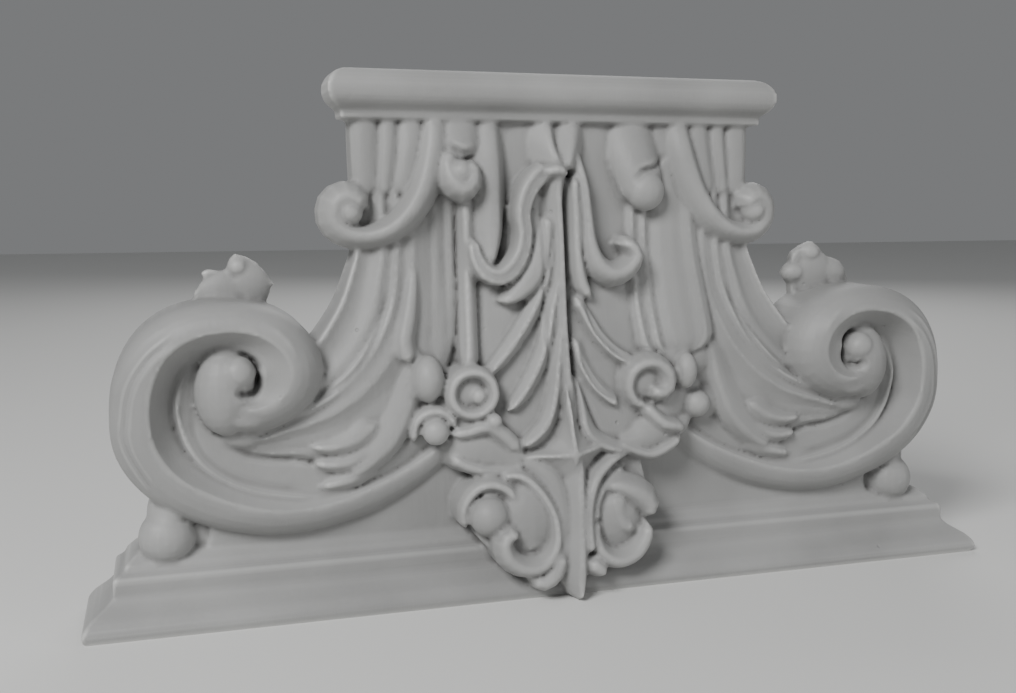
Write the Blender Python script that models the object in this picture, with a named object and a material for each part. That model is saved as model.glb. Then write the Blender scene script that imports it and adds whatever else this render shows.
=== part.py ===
"""Carved wooden pilaster capital, flat backed, standing on its wide moulded abacus.

All design sizes below are in millimetres and are turned into metres when a body is made.
x runs to the right, z runs up from the underside, and "proud" is how far a surface stands
in front of the flat back.
"""
import math

import bmesh
import bpy
import numpy as np
from mathutils import Matrix, Vector

# Driving sizes of the block
WIDTH = 400.0
BASE_DEPTH = 44.0
HEIGHT = 219.0
BACK_Y = BASE_DEPTH / 2

# The carver's pattern is drawn for one block and stretched to the block in hand
PATTERN_WIDTH = 400.0
PATTERN_DEPTH = 44.0
PATTERN_HEIGHT = 219.0
NECK_WIDTH = 178.0
TORUS_WIDTH = 200.0
TORUS_RADIUS = 8.2
TORUS_PROUD = 20.6
PLATE_PROUD = 23.5
BURY = 1.5

# How fine the carving is kept: the skin's grain, the rounds of easing and the faces left
GRAIN = 1.6
SOFTENING = 3
TRIANGLES = 8200

MM = 0.001


def clear_scene():
    """Start from an empty scene."""
    for item in list(bpy.data.objects):
        bpy.data.objects.remove(item, do_unlink=True)


def place(x, z, proud):
    """A point of the pattern, given as right, up and proud of the back, in metres."""
    return Vector((x * WIDTH / PATTERN_WIDTH, BACK_Y - proud * BASE_DEPTH / PATTERN_DEPTH,
                   z * HEIGHT / PATTERN_HEIGHT)) * MM


def smooth_rows(rows, step):
    """Fill the gaps between hand-set rows with an even, smooth run of rows."""
    rows = np.array(rows, dtype=float)
    padded = np.vstack([2 * rows[0] - rows[1], rows, 2 * rows[-1] - rows[-2]])
    filled = []
    for i in range(1, len(padded) - 2):
        before, start, end, after = padded[i - 1:i + 3]
        count = max(2, int(math.hypot(*(end[:2] - start[:2])) / step))
        for t in np.arange(count) / count:
            filled.append(0.5 * (2 * start + (end - before) * t
                                 + (2 * before - 5 * start + 4 * end - after) * t * t
                                 + (3 * start - before - 3 * end + after) * t ** 3))
    filled.append(rows[-1])
    return np.array(filled)


def rounded(lean, fullness):
    """Cross-section of a rounded member: places across it and how far each falls."""
    shape = []
    for across in np.linspace(-1, 1, 11):
        if across < lean:
            shape.append((across, ((lean - across) / (lean + 1)) ** fullness))
        else:
            shape.append((across, ((across - lean) / (1 - lean)) ** fullness))
    return shape


def sweep(bm, rings):
    """Draw a face out through a run of rings of points, as one closed body."""
    face = bm.faces.new([bm.verts.new(point) for point in rings[0]])
    for i, ring in enumerate(rings[1:]):
        grown = bmesh.ops.extrude_face_region(bm, geom=[face])
        if i > 0:
            bm.faces.remove(face)
        face = next(item for item in grown["geom"] if isinstance(item, bmesh.types.BMFace))
        for loop, point in zip(face.loops, ring):
            loop.vert.co = point


def member(bm, rows, rise=None, lean=0.0, fullness=2.2, root=-BURY, side=1, blunt=(1.0, 1.0),
           shape=None):
    """Sweep a carved member along rows of (x, z, proud, half width[, rise])."""
    full = [row if len(row) > 4 else (*row, row[3] if rise is None else rise) for row in rows]
    path = smooth_rows(full, 2.5)
    steps = np.hypot(*np.diff(path[:, :2], axis=0).T)
    along = np.concatenate([[0.0], np.cumsum(steps)])
    run = np.gradient(path[:, :2], axis=0)
    run /= np.maximum(np.hypot(run[:, 0], run[:, 1])[:, None], 1e-6)
    section = shape or rounded(lean, fullness)
    rings = []
    for i, (x, z, proud, half_width, row_rise) in enumerate(path):
        gap = min(along[i] / max(blunt[0] * path[0][3], 0.01),
                  (along[-1] - along[i]) / max(blunt[1] * path[-1][3], 0.01), 1.0)
        ease = math.sqrt(max(1 - (1 - gap) ** 2, 0.0)) * 0.75 + 0.25
        width = half_width * ease
        crest = proud - (1 - ease) * row_rise * 0.7
        ring = [(across * width, crest - row_rise * fall) for across, fall in section]
        low = root if root < 0 else min(root, proud - row_rise - 0.5)
        ring += [(width, low), (-width, low)]
        rings.append([place(side * (x - run[i, 1] * a), z + run[i, 0] * a, p) for a, p in ring])
    sweep(bm, rings)


def banked(bm, rows, root=-BURY, side=1):
    """Sweep a rim with a round outer flank, a sharp crest and a hollow slope on its left.

    Each row is (x, z, proud, outer width, inner width, outer fall, inner fall).
    """
    path = smooth_rows(rows, 2.5)
    run = np.gradient(path[:, :2], axis=0)
    run /= np.hypot(run[:, 0], run[:, 1])[:, None]
    rings = []
    for i, (x, z, proud, outer, inner, outer_fall, inner_fall) in enumerate(path):
        ring = [(-outer, root)]
        for share in (1.0, 0.96, 0.87, 0.72, 0.5, 0.25, 0.0):
            ring.append((-outer * share, proud - outer_fall * (1 - math.sqrt(1 - share ** 2))))
        for share in (0.12, 0.3, 0.5, 0.75, 1.0):
            ring.append((inner * share, proud - inner_fall * (1 - (1 - share) ** 1.7)))
        ring += [(inner + 2.5, proud - inner_fall - 4), (inner + 2.5, root)]
        rings.append([place(side * (x - run[i, 1] * a), z + run[i, 0] * a, p) for a, p in ring])
    sweep(bm, rings)


def ball(bm, x, z, proud, radius, tall=None, deep=None, side=1):
    """A ball or egg, its middle standing proud of the back by the given amount."""
    scale = Matrix.Diagonal((radius * MM, (deep or radius) * MM, (tall or radius) * MM, 1))
    spot = Matrix.Translation(place(side * x, z, proud))
    bmesh.ops.create_uvsphere(bm, u_segments=20, v_segments=12, radius=1.0, matrix=spot @ scale)


def slab(bm, outline, low, high, side=1):
    """An upright slab of the given outline, from one proud level to another."""
    sweep(bm, [[place(side * x, z, proud) for x, z in outline] for proud in (low, high)])


def bell(bm):
    """The core behind the leaves, as a stack of flat-backed sections up the height."""
    neck = NECK_WIDTH / 2
    levels = [(14, 108, 22.5), (30, 108, 22.5), (64, 108, 22.5), (85, 110, 21), (100, 110, 19.5),
              (111, 105, 18), (122, 97, 16.5), (134, 92, 15), (146, neck, 13.5), (165, neck - 1, 12),
              (190, neck, 11), (PATTERN_HEIGHT + 2, neck, 11)]
    corner = 5.0
    rings = []
    for z, half, proud in levels:
        ring = [(-half, -BURY), (-half, proud - corner), (-half + corner * 0.3, proud - corner * 0.3),
                (-half + corner, proud), (half - corner, proud),
                (half - corner * 0.3, proud - corner * 0.3), (half, proud - corner), (half, -BURY)]
        rings.append([place(x, z, p) for x, p in ring])
    sweep(bm, rings)
    tongue = [(0, 206, 11, 44), (0, 175, 14.5, 44), (0, 150, 18, 44), (0, 125, 22.5, 44),
              (0, 105, 27, 46), (0, 88, 31, 46), (0, 72, 34.5, 40), (0, 60, 36.5, 30),
              (0, 51, 36, 18)]
    member(bm, tongue, rise=6, fullness=2.6, blunt=(0.01, 0.4))


def volute(bm, side):
    """The big corner scroll: rim, sunk channel, inner ledge and coiled eye."""
    outline = [(60, 55), (75, 43), (98, 32.5), (123, 30), (147, 34), (168, 45.5), (181, 58), (186.5, 72),
               (187, 86), (183.5, 99), (176, 111.5), (164, 121), (147, 125.5), (130, 124), (117, 116),
               (109, 108), (104, 99), (70, 99)]
    slab(bm, outline, -BURY, 20, side)
    rim = [(50, 68, 26, 10, 6, 8, 5), (68, 57, 27.5, 11.5, 7, 9, 6), (86, 49, 29.5, 12, 8, 10, 6),
           (103, 44, 31, 11.5, 8.5, 11, 5.5), (119, 42.6, 32, 12.2, 9.5, 12, 6),
           (134, 45, 33, 13.2, 11, 13, 8.5), (150, 51.6, 34, 14.8, 12.5, 14, 11.5),
           (163, 60.5, 34.8, 15.4, 12.5, 14, 13), (170.5, 72, 35.2, 16, 12, 14, 13.5),
           (172.3, 85, 35.6, 15, 11.5, 14, 13.5), (170.8, 96, 36, 14.6, 11, 14, 13.5),
           (166, 106, 36.5, 13.4, 10.5, 14, 13), (158, 112.8, 37, 12, 9.5, 14, 11.5),
           (147, 116, 37.5, 10.8, 8.5, 14, 9.5), (136, 116, 38, 10.4, 8, 14, 8),
           (127, 112.6, 38.5, 11.4, 8.5, 15, 6.5), (121, 107, 39, 12.6, 10, 16, 5.5),
           (118.6, 99.5, 39, 14.2, 11.4, 16, 5), (120.5, 92.8, 38.5, 14, 10, 16, 4.5),
           (125.5, 87.8, 38, 12, 7, 15, 4), (132, 85.8, 37.5, 11.4, 3.5, 14, 3),
           (138.5, 86.4, 37, 11, 2, 13, 2)]
    banked(bm, rim, side=side)
    ball(bm, 143.4, 91.5, 27, 12.2, tall=17.2, deep=11.6, side=side)
    ball(bm, 138.8, 99.4, 32, 6.8, deep=6.8, side=side)
    tail = [(124, 84.6, 36, 6, 12), (133, 81.4, 36.4, 7, 12), (141, 82.6, 36.2, 7.6, 11),
            (147, 87, 35.5, 7, 10)]
    member(bm, tail, side=side, fullness=2.5)
    ball(bm, 137, 73, 22, 10, tall=6, deep=7, side=side)
    ledge = [(97, 46.5, 28.5, 2.4, 10, 2.5, 0.8), (107, 46.6, 28, 2.4, 11, 3, 1),
             (120, 48, 27.4, 2.4, 14, 4, 1.2), (135, 51.4, 27, 2.4, 16, 5, 1.4),
             (150, 59.6, 26.6, 2.4, 14, 5, 1.4), (158, 70, 26.4, 2.4, 10, 5, 1.2),
             (161.8, 84, 26, 2.4, 7, 5, 1), (160.5, 94, 25.5, 2.4, 6, 5, 1),
             (155.5, 102, 24.6, 2.4, 5, 4, 1), (148.5, 107, 23.6, 2.4, 4, 4, 1)]
    banked(bm, ledge, side=side)


def flank(bm, side):
    """The fluted band down the side of the bell and the broad leaf sweeping into the scroll."""
    band = [(82.2, 192, 12.5, 6.6), (82.2, 165, 15, 6.8), (82.4, 146, 18, 7), (85.2, 133, 20.5, 8),
            (88.8, 121.5, 23, 9), (94.5, 111, 25.5, 9.6), (102, 102, 27.5, 9), (110, 95.5, 28.5, 7.5),
            (119, 90, 28, 5.5)]
    fluted = [(-1, 1.1), (-0.94, 0.55), (-0.8, 0.12), (-0.6, 0.0), (-0.38, 0.12), (-0.1, 0.45),
              (0.2, 0.62), (0.5, 0.6), (0.74, 0.4), (0.88, 0.28), (0.96, 0.45), (1, 1.0)]
    member(bm, band, side=side, rise=5.5, shape=fluted)
    member(bm, [(76, 165, 13.5, 4), (76.4, 145, 17, 4), (79, 126, 20.5, 4.4), (85, 112, 23.5, 5),
                (93, 101, 25.5, 5)], side=side, rise=1.5)
    leaf = [(61, 200, 12.5, 14.5), (61, 170, 15.5, 15), (61, 150, 18, 15.2), (61.5, 136, 20, 15.6),
            (63, 123, 22.5, 16.4), (67, 110, 25.5, 18), (73.5, 97.5, 28, 19), (83.5, 86.5, 30, 18.5),
            (96, 78.5, 31, 16), (108, 74.5, 31, 12.5), (120, 72, 30, 9.5), (131, 70, 28.5, 5.5),
            (141, 71.5, 26.5, 2.5)]
    folded = [(-1, 0.9), (-0.95, 0.62), (-0.72, 0.4), (-0.5, 0.5), (-0.28, 0.38), (-0.05, 0.42),
              (0.15, 0.25), (0.32, 0.02), (0.45, 0.2), (0.6, 0.3), (0.74, 0.05), (0.86, 0.2),
              (0.94, 0.6), (1, 1.2)]
    member(bm, leaf, side=side, rise=5.5, shape=folded)


def neck_leaves(bm, side):
    """Short reeds under the half-round, and the arm that rolls into the small scroll."""
    member(bm, [(84.3, 206, 12, 5.8), (84.3, 190, 13.8, 5.8), (84, 168, 14.5, 5.4)], side=side,
           rise=2.6, fullness=2.5)
    member(bm, [(74.6, 206, 12, 4.2), (75, 188, 14.6, 4.2), (77, 168, 15.4, 4)], side=side,
           rise=3, fullness=2.5)
    member(bm, [(65, 206, 12, 5.6), (65.5, 188, 15.4, 5.6), (69, 168, 16.6, 5)], side=side,
           rise=3, fullness=2.5)
    arm = [(53.5, 206, 11.5, 7), (55, 192, 18, 7), (57.5, 180, 21, 7), (61.5, 169, 23, 6.6),
           (68, 159.4, 24, 6), (76.5, 153, 23.5, 5.4), (86, 150.8, 21.5, 5.2), (94, 152.8, 20.5, 5.4),
           (98.2, 158, 20, 5.8), (97.6, 164.6, 20.5, 6), (92.8, 168.2, 21, 5.8),
           (88, 166, 21.5, 5.2), (88.8, 161.6, 21, 4.6)]
    member(bm, arm, side=side, rise=7, root=2.5, lean=0.2)
    ball(bm, 91.6, 161.4, 15.4, 5.6, deep=6.4, side=side)


def middle_left(bm):
    """The strips, the hanging curl and the folded ribbon left of the stem."""
    member(bm, [(-66, 140, 19, 3), (-67, 130, 22.5, 4), (-69, 119, 26, 4.6), (-71.5, 108, 29, 5),
                (-70, 100, 31, 5)], rise=5)
    member(bm, [(-45.5, 206, 12, 11.4), (-45.5, 196, 15.4, 10.8), (-45.6, 189, 18.4, 9.6),
                (-46, 183, 20, 7.6)], rise=5, fullness=2.6, blunt=(0.01, 0.8))
    hook = [(-49.6, 188, 18.6, 5), (-51, 181, 22.6, 5.4), (-49.6, 174.6, 25.6, 6), (-45.6, 170.8, 27, 6),
            (-41.8, 173.4, 26.8, 5), (-41.4, 178.6, 25.6, 4), (-44.6, 181, 24.6, 3)]
    member(bm, hook, rise=6.5)
    ball(bm, -46, 177, 19.6, 5.6, deep=6.2)
    member(bm, [(-42.5, 180, 15.5, 3.6), (-42.5, 165, 19, 3.6), (-43, 140, 22.4, 3.6),
                (-43.5, 118, 26.5, 3.8), (-44.5, 97, 32, 4)], rise=4, lean=-0.4)
    member(bm, [(-33.5, 206, 11.5, 9), (-33.5, 185, 18.5, 9), (-33.5, 165, 22, 8.6), (-34, 152, 24.6, 7.6),
                (-35.5, 143, 26.4, 6), (-36.4, 138, 27, 4.6)], rise=8, lean=0.3, fullness=1.7,
           blunt=(0.01, 0.8))
    ribbon = [(-7, 180, 24, 4), (-13, 176, 25.5, 4.6), (-18, 169.5, 26.5, 4.4), (-20.4, 161, 27, 4),
              (-19.8, 152.5, 28, 3.8), (-21.4, 144.5, 29, 4), (-25.4, 138.2, 30, 4.4),
              (-31, 134.6, 30.5, 4.2), (-37, 136.4, 29.6, 3.8), (-40.6, 142.5, 27.4, 3.2),
              (-41.4, 150, 24.6, 2.4)]
    member(bm, [(-13, 170, 21, 4), (-14.5, 156, 23, 4.6), (-17, 143, 25, 5)], rise=2)
    channelled = [(-1, 1), (-0.88, 0.45), (-0.65, 0.1), (-0.35, 0.0), (0, 0.16), (0.35, 0.1),
                  (0.65, 0.05), (0.88, 0.4), (1, 1)]
    member(bm, ribbon, rise=5.5, shape=channelled)
    member(bm, [(-9, 160, 24.5, 4), (-12, 147, 27, 5.4), (-15.5, 137, 28.6, 6), (-20.5, 130.4, 29.4, 5.4),
                (-26, 126, 29, 3.8), (-31.4, 124, 27.5, 1.6)], rise=5, lean=0.3, blunt=(0.3, 1))


def middle_right(bm):
    """The broad rounded leaf, hanging curl and curling ribbon right of the stem."""
    broad = [(46.5, 203, 12, 17), (46.5, 165, 17.5, 17.5), (46.5, 142, 21.5, 18.5),
             (48, 122, 26, 19.5), (49.5, 108, 30, 19), (50.5, 98, 32, 17.5)]
    reeded = [(-1, 1), (-0.93, 0.5), (-0.8, 0.25), (-0.66, 0.55), (-0.5, 0.2), (-0.36, 0.55),
              (-0.1, 0.15), (0.2, 0.04), (0.45, 0.16), (0.7, 0.02), (0.9, 0.35), (1, 0.9)]
    member(bm, broad, rise=6.5, shape=reeded, blunt=(0.2, 0.5))
    member(bm, [(33, 206, 11.5, 12.4), (33, 195, 15.5, 12.2), (33.6, 186, 19.5, 11.6),
                (35, 178, 22.5, 10.6), (36.6, 169, 24, 9.4), (37, 164, 24, 8.4)], rise=6.5, fullness=2.4,
           blunt=(0.01, 0.9))
    ball(bm, 37.4, 169.8, 18.6, 8.6, deep=7.4)
    member(bm, [(-1, 178.5, 25.5, 5), (3, 189, 20.5, 6.6), (7, 204, 12, 8.6)], rise=6.5, fullness=1.6)
    member(bm, [(3.5, 176, 23, 2.6), (4, 158, 25, 2.8), (4, 143, 27, 2.8), (6, 130, 28.5, 3.4),
                (10, 124.5, 28.5, 2)], rise=4)
    ribbon = [(4.5, 188, 18.5, 3.4), (7.5, 173, 23, 4), (8.8, 158, 25.5, 4.2), (9.8, 147, 27.5, 4.8),
              (13, 138.5, 29.5, 5.4), (19.5, 134.2, 31, 5.6), (26.5, 136.5, 31.5, 5.2),
              (30.4, 142.4, 31, 4.4), (27, 147.4, 30, 3.6), (22.5, 147.6, 28.5, 2.6)]
    member(bm, ribbon, rise=7, lean=0.15)


def stem(bm):
    """The middle stem, its knot and its run down to the flower's pointed tip."""
    member(bm, [(-10, 206, 11.5, 9.5), (-9.6, 198, 15.5, 9), (-8.2, 188, 21, 6.6),
                (-5.8, 178.5, 25.5, 6.6), (-6, 170, 25, 6.2), (-5.5, 149, 27, 6.4),
                (-5.4, 116, 31, 6.4), (-4.8, 91, 35.5, 6.2), (-3.8, 72, 39, 6.2), (-2.6, 60, 43, 6.6),
                (-3, 48, 47, 6.4), (-4, 34, 51, 6.6), (-5, 20, 54.2, 7), (-5, 11, 55.2, 6.2),
                (-4.4, 4.5, 55.2, 4.2), (-3.8, -0.5, 54.6, 1.6)],
           rise=8, lean=0.35, fullness=1.3, blunt=(1, 0.2))
    member(bm, [(-13, 176.6, 24.5, 2.6), (-6, 178.6, 28, 3.4), (0.5, 177, 25.5, 2.8)], rise=5)
    broad_ribs = [[(-5.5, 152, 25, 2.2), (-10, 134, 27.4, 3), (-15.5, 121.5, 28.8, 3.4),
                   (-21.5, 112, 30.4, 3.6), (-28.5, 103, 31.8, 3.4), (-36, 95.4, 33, 2.4),
                   (-40, 91.5, 33, 1.2)],
                  [(-5, 134, 27.6, 2.2), (-8.6, 118.5, 30.2, 3), (-12, 105, 32.6, 3.4),
                   (-17, 94.5, 34.4, 3.5), (-23, 85.5, 36, 3.2), (-29.4, 78.6, 36.8, 1.6)],
                  [(-4.6, 114, 31, 2.2), (-6.8, 98, 33.6, 3), (-9, 84, 36.6, 3.4), (-13, 73.5, 39, 3.6),
                   (-19, 67, 39.6, 3.2), (-25, 63.6, 38.8, 2)]]
    for rib in broad_ribs:
        member(bm, rib, rise=3.4, fullness=1.05)
    thin_ribs = [[(3, 125, 28.5, 2.6), (8, 116, 29.6, 2.8), (13.5, 107.5, 31, 2.8),
                  (20.5, 100.5, 32.6, 2.8), (28, 96.5, 34, 2.8)],
                 [(1, 108, 31, 2.6), (5.5, 95, 33.2, 2.8), (11.5, 86, 35.2, 2.8), (20, 79, 36.8, 2.6)],
                 [(0, 92, 34.4, 3), (2.5, 76, 38.6, 3.4), (6.5, 67, 40.8, 3.6), (14, 62.5, 41.4, 3.4),
                  (22, 60, 39.8, 2.6)]]
    for rib in thin_ribs:
        member(bm, rib, rise=3.6, fullness=1.4, lean=-0.4)


def clusters(bm):
    """Buds, rings and turned leaf tips either side of the stem's foot."""
    ball(bm, -62.5, 93, 27, 7, tall=9.8, deep=9.5)
    ball(bm, -60, 71.3, 31.5, 5.6)
    member(bm, [(-66, 84, 26.5, 9), (-52, 78, 31, 10), (-38, 71, 35, 9)], rise=5)
    member(bm, [(65, 86, 25.5, 8), (52, 80, 30.5, 10), (38, 73, 35, 10)], rise=5)
    member(bm, [(-68.6, 67, 31, 2.4), (-68, 75, 32, 2.4), (-62, 79.6, 33, 2.4), (-55, 78.4, 34.2, 2.4),
                (-51.6, 72.5, 35, 2.4)], rise=3.4)
    dish = [(-44.8 + 9 * math.cos(turn), 87 + 9 * math.sin(turn), 37 + math.cos(turn), 2.6)
            for turn in np.radians(np.arange(0, 391, 30))]
    member(bm, dish, rise=4, blunt=(0.01, 0.01))
    ball(bm, -44.8, 87, 28, 9.5, deep=5.4)
    ball(bm, -42, 85.6, 33, 3.5)
    member(bm, [(-57, 64, 30, 8), (-48, 63, 33.5, 10), (-38, 62.5, 35.5, 10.5), (-29, 60, 37, 8),
                (-22, 57.5, 38, 4)], rise=4.5, fullness=2.6)
    member(bm, [(-53.5, 70, 35, 2.4), (-46, 71, 36.6, 2.6), (-39, 73, 38, 3), (-32, 69, 39, 3.4),
                (-25.5, 62, 39, 3.4)], rise=2.8)
    ball(bm, -36.2, 75, 35, 3.6, deep=4)
    member(bm, [(-54, 60.5, 34, 3), (-47.5, 56.6, 35.5, 3.2), (-38.5, 54, 37, 3.2), (-29, 54.5, 38, 3),
                (-22.5, 57, 38.5, 2.6)], rise=4)
    coil = [(34, 77, 36, 2.6), (27.6, 80, 36.4, 3.4), (24.6, 86, 36.6, 3.8), (26, 92.6, 37.2, 4),
            (31, 96.4, 38, 4), (37.4, 96.2, 38.6, 4.2), (42, 91.8, 39.2, 4.6), (42, 86, 39.6, 4.8),
            (37.6, 83.6, 39.6, 4.4), (34.4, 86.4, 39.2, 3.6)]
    member(bm, coil, rise=6.5)
    ball(bm, 52.4, 92, 30.5, 5.2, tall=8.2, deep=7)
    ball(bm, 50, 97, 24, 9, deep=6)
    ball(bm, 60, 97, 22.5, 9, deep=6)
    ball(bm, 65.5, 77, 22, 9, deep=7)
    ball(bm, 33, 88, 30, 8, deep=5)
    ball(bm, 59, 76.6, 28, 6.4, deep=7.5)
    member(bm, [(57, 73, 29, 5), (50, 68, 33, 6), (43, 67, 36, 7.5), (35, 65, 37.5, 8.5),
                (27, 62.5, 38.5, 6), (18, 61.5, 39, 4)], rise=5, fullness=2.4)
    member(bm, [(31, 79, 36, 3), (35, 74.5, 38.5, 3.2), (40, 70, 40, 3.4), (46.5, 68.4, 38.8, 3),
                (51, 66.6, 36.5, 2)], rise=4)
    member(bm, [(50, 63.6, 35.5, 2.4), (44, 60.2, 38, 3), (34.5, 57, 39, 3.2), (26, 59.5, 39.6, 3),
                (17, 63, 40, 2.6)], rise=4)
    star = [(-24, 59.4), (-14.5, 62.4), (-9, 67), (-6.4, 74), (-4.6, 88), (-1.6, 75), (1.6, 68.4),
            (7, 64.8), (17.5, 64.4), (8, 58), (4.4, 52), (1.4, 45), (-3.4, 34), (-8.6, 45), (-11.6, 52.6),
            (-16, 56.8)]
    levels = [(-BURY, 1.0), (37.5, 1.0), (39.4, 0.84), (45.4, 0.08)]
    sweep(bm, [[place(-3 + (x + 3) * share, 60.6 + (z - 60.6) * share, proud) for x, z in star]
               for proud, share in levels])
    member(bm, [(-25, 58.6, 37.4, 3.4), (-17, 54.6, 40.6, 5), (-11.5, 47, 43.6, 5.2), (-9, 38, 46.4, 4.4),
                (-8.8, 28, 48.8, 3.6), (-9.4, 18, 50.6, 3)], rise=3)


def flower(bm):
    """The small flower hanging over the front of the abacus."""
    backing = [(-45, 42), (-32, 51), (-12, 53), (12, 53), (26, 46), (33, 38), (31, 24), (22, 15),
               (8, 8), (-4, 2), (-18, 6), (-32, 13), (-44, 27)]
    slab(bm, backing, -BURY, 39)
    slab(bm, [(-36, 44), (-33, 62), (28, 64), (33, 46)], -BURY, 34)
    ball(bm, -22, 32, 36, 15.5, tall=18, deep=11.2)
    ball(bm, 16, 30, 36, 14, tall=16, deep=10.8)
    ball(bm, -39.3, 36, 39.5, 8.5)
    member(bm, [(-48.6, 30.5, 38.5, 2.4), (-49.6, 39.5, 39.5, 2.6), (-45.2, 46.8, 40.5, 2.8),
                (-38, 49.2, 41.8, 2.8), (-31, 46, 43, 2.8), (-27.6, 38.5, 44, 2.6),
                (-28.4, 33, 44.4, 2.2)], rise=4)
    member(bm, [(-22, 48, 41, 7), (-20, 38, 43.5, 8), (-20.5, 28, 46, 8), (-24, 22, 47.5, 7)], rise=3)
    rim = [(-35, 51.6, 39, 2.6), (-26, 52, 42, 3), (-18.4, 45.4, 45.5, 3.1), (-13.2, 35.5, 48.5, 3.1),
           (-12.6, 25.8, 51, 3.3), (-15.8, 18.4, 52.4, 3.8), (-21.6, 15.2, 53, 4.3),
           (-28.6, 16, 53, 4.6), (-34, 20.4, 52.5, 4.7), (-35.4, 26.4, 51.8, 4.4),
           (-32.2, 29.8, 51, 3.8), (-29.4, 27.4, 50.4, 3)]
    member(bm, rim, rise=6)
    member(bm, [(-11, 21, 53, 4), (-13.5, 12.6, 53.6, 4.4), (-18.6, 8.6, 53, 4.2), (-24.5, 10.6, 51, 2.6)],
           rise=5)
    member(bm, [(25, 60, 38, 2.6), (15, 56, 41.5, 3), (6.4, 49, 45.5, 3.2), (1.8, 38.4, 49.5, 3.2),
                (1, 27.5, 52.5, 3.2), (1.5, 20, 53.8, 3.4)], rise=5)
    member(bm, [(22, 52.5, 38, 2.6), (12.4, 47, 42.5, 2.8), (6.6, 39.6, 46, 2.8), (5, 31, 49, 2.6)],
           rise=5)
    member(bm, [(9.5, 45, 42.5, 4), (17.5, 45, 45.6, 5.6), (26, 41.4, 47.6, 7), (30.6, 36.4, 48.2, 6.4),
                (28.6, 31, 47.4, 4.6)], rise=8)
    member(bm, [(18, 43, 45.6, 5.6), (15.6, 35.6, 47, 6), (18, 29.4, 47.8, 5.4), (24, 27.4, 47.6, 4)],
           rise=4.5)
    bowl = [(5.6, 33.5, 48, 2.8), (4.8, 25, 50.8, 3.4), (8.2, 17.8, 52.3, 4), (15.4, 14.8, 52.3, 4.3),
            (23.4, 17.2, 51.2, 4.6), (28.4, 23.6, 49.6, 4.2), (29.4, 29.6, 48, 3.4)]
    member(bm, bowl, rise=6)
    member(bm, [(-0.5, 16.6, 54.2, 4), (5, 13, 54.2, 4.2), (8.6, 9.8, 53.2, 3.2)], rise=5)


def frayed_tip(bm, side):
    """The torn leaf end laid over the inside of the big scroll."""
    fingers = [[(84, 76, 31, 5.5), (94, 69.5, 32.6, 4.6), (103, 67.4, 32.4, 3.2), (111, 67.8, 31, 1.6)],
               [(82, 68, 30.5, 5.5), (92, 62, 32, 4.6), (101, 60, 31.8, 3.4), (109.5, 60.6, 30.4, 1.6)],
               [(84, 60, 30, 5), (93, 54.5, 31.4, 4), (101, 52, 31, 3), (108, 50.6, 29.5, 1.5)]]
    for finger in fingers:
        member(bm, finger, side=side, rise=2.6, fullness=1.4)
    member(bm, [(60, 74, 25, 7), (72, 64, 26.5, 8), (84, 57, 27.5, 8), (97, 52, 27.5, 6)], side=side,
           rise=4)
    edge = [(66.5, 106, 26.5, 5), (69.5, 95, 29, 6), (73.5, 82, 31, 7), (79.5, 70.5, 32.2, 7.5),
            (88, 62, 32.6, 6.5), (96, 56, 32, 4.5)]
    member(bm, edge, side=side, rise=4, fullness=1.5, lean=-0.35)


def corner_ball(bm, side):
    """The ball, its thick neck and the board behind it, between the abacus and the big scroll."""
    middle = 166.5 - side * 1.1
    ball(bm, middle, 33.3, 20.4, 11.2, side=side)
    member(bm, [(middle, 32, 29, 10), (middle - 1.8, 42, 28, 9.2), (middle - 3, 52, 26, 9)], side=side,
           rise=9, root=8)
    slab(bm, [(150, 20), (173, 20), (173, 50), (150, 58)], -BURY, 21.5, side)


def sprigs(bm):
    """The two little leaf sprays standing on the scrolls."""
    left = [(-155, 118), (-153.5, 129), (-151, 132), (-149, 134), (-150.5, 137), (-148, 138.5),
            (-143, 137.5), (-139.5, 138.5), (-139.5, 142), (-137, 144.5), (-132, 143),
            (-128, 140.5), (-125, 136), (-121.5, 132), (-125.5, 128.5), (-126, 118)]
    right = [(119, 118), (118.5, 126), (114, 132), (118, 135), (119, 141), (123.5, 144),
             (129, 146.5), (133, 143.5), (136, 139.5), (141, 138.5), (144.5, 137), (146, 133.5),
             (149, 129), (147, 124), (148, 116)]
    for outline in (left, right):
        slab(bm, outline, 1, 6.5)
    lumps = [(-141, 127, 12, 11), (-132, 131, 9, 10), (-136, 139, 4.4, 4.4),
             (130, 130, 11, 13), (120, 132, 6, 5), (128, 141, 5.5, 5), (140, 131, 8, 7)]
    for x, z, radius, tall in lumps:
        ball(bm, x, z, 4.5, radius, tall=tall, deep=5)


def carving():
    """All the carved members, run together into one skin."""
    bm = bmesh.new()
    bell(bm)
    flare = [(-158, 18), (-154, 24), (-151, 32), (-150, 58), (150, 58), (151, 32), (154, 24), (158, 18)]
    slab(bm, flare, -BURY, PLATE_PROUD)
    for side in (-1, 1):
        volute(bm, side)
        flank(bm, side)
        neck_leaves(bm, side)
        frayed_tip(bm, side)
        corner_ball(bm, side)
    middle_left(bm)
    middle_right(bm)
    stem(bm)
    clusters(bm)
    flower(bm)
    sprigs(bm)
    bmesh.ops.recalc_face_normals(bm, faces=bm.faces)
    return bm


def to_object(name, bm):
    """Put a bmesh into the scene as an object."""
    mesh = bpy.data.meshes.new(name)
    bm.to_mesh(mesh)
    bm.free()
    item = bpy.data.objects.new(name, mesh)
    bpy.context.scene.collection.objects.link(item)
    return item


def settle(item):
    """Work the modifiers of an object into its mesh."""
    graph = bpy.context.evaluated_depsgraph_get()
    mesh = bpy.data.meshes.new_from_object(item.evaluated_get(graph))
    item.modifiers.clear()
    old = item.data
    item.data = mesh
    bpy.data.meshes.remove(old)


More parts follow.
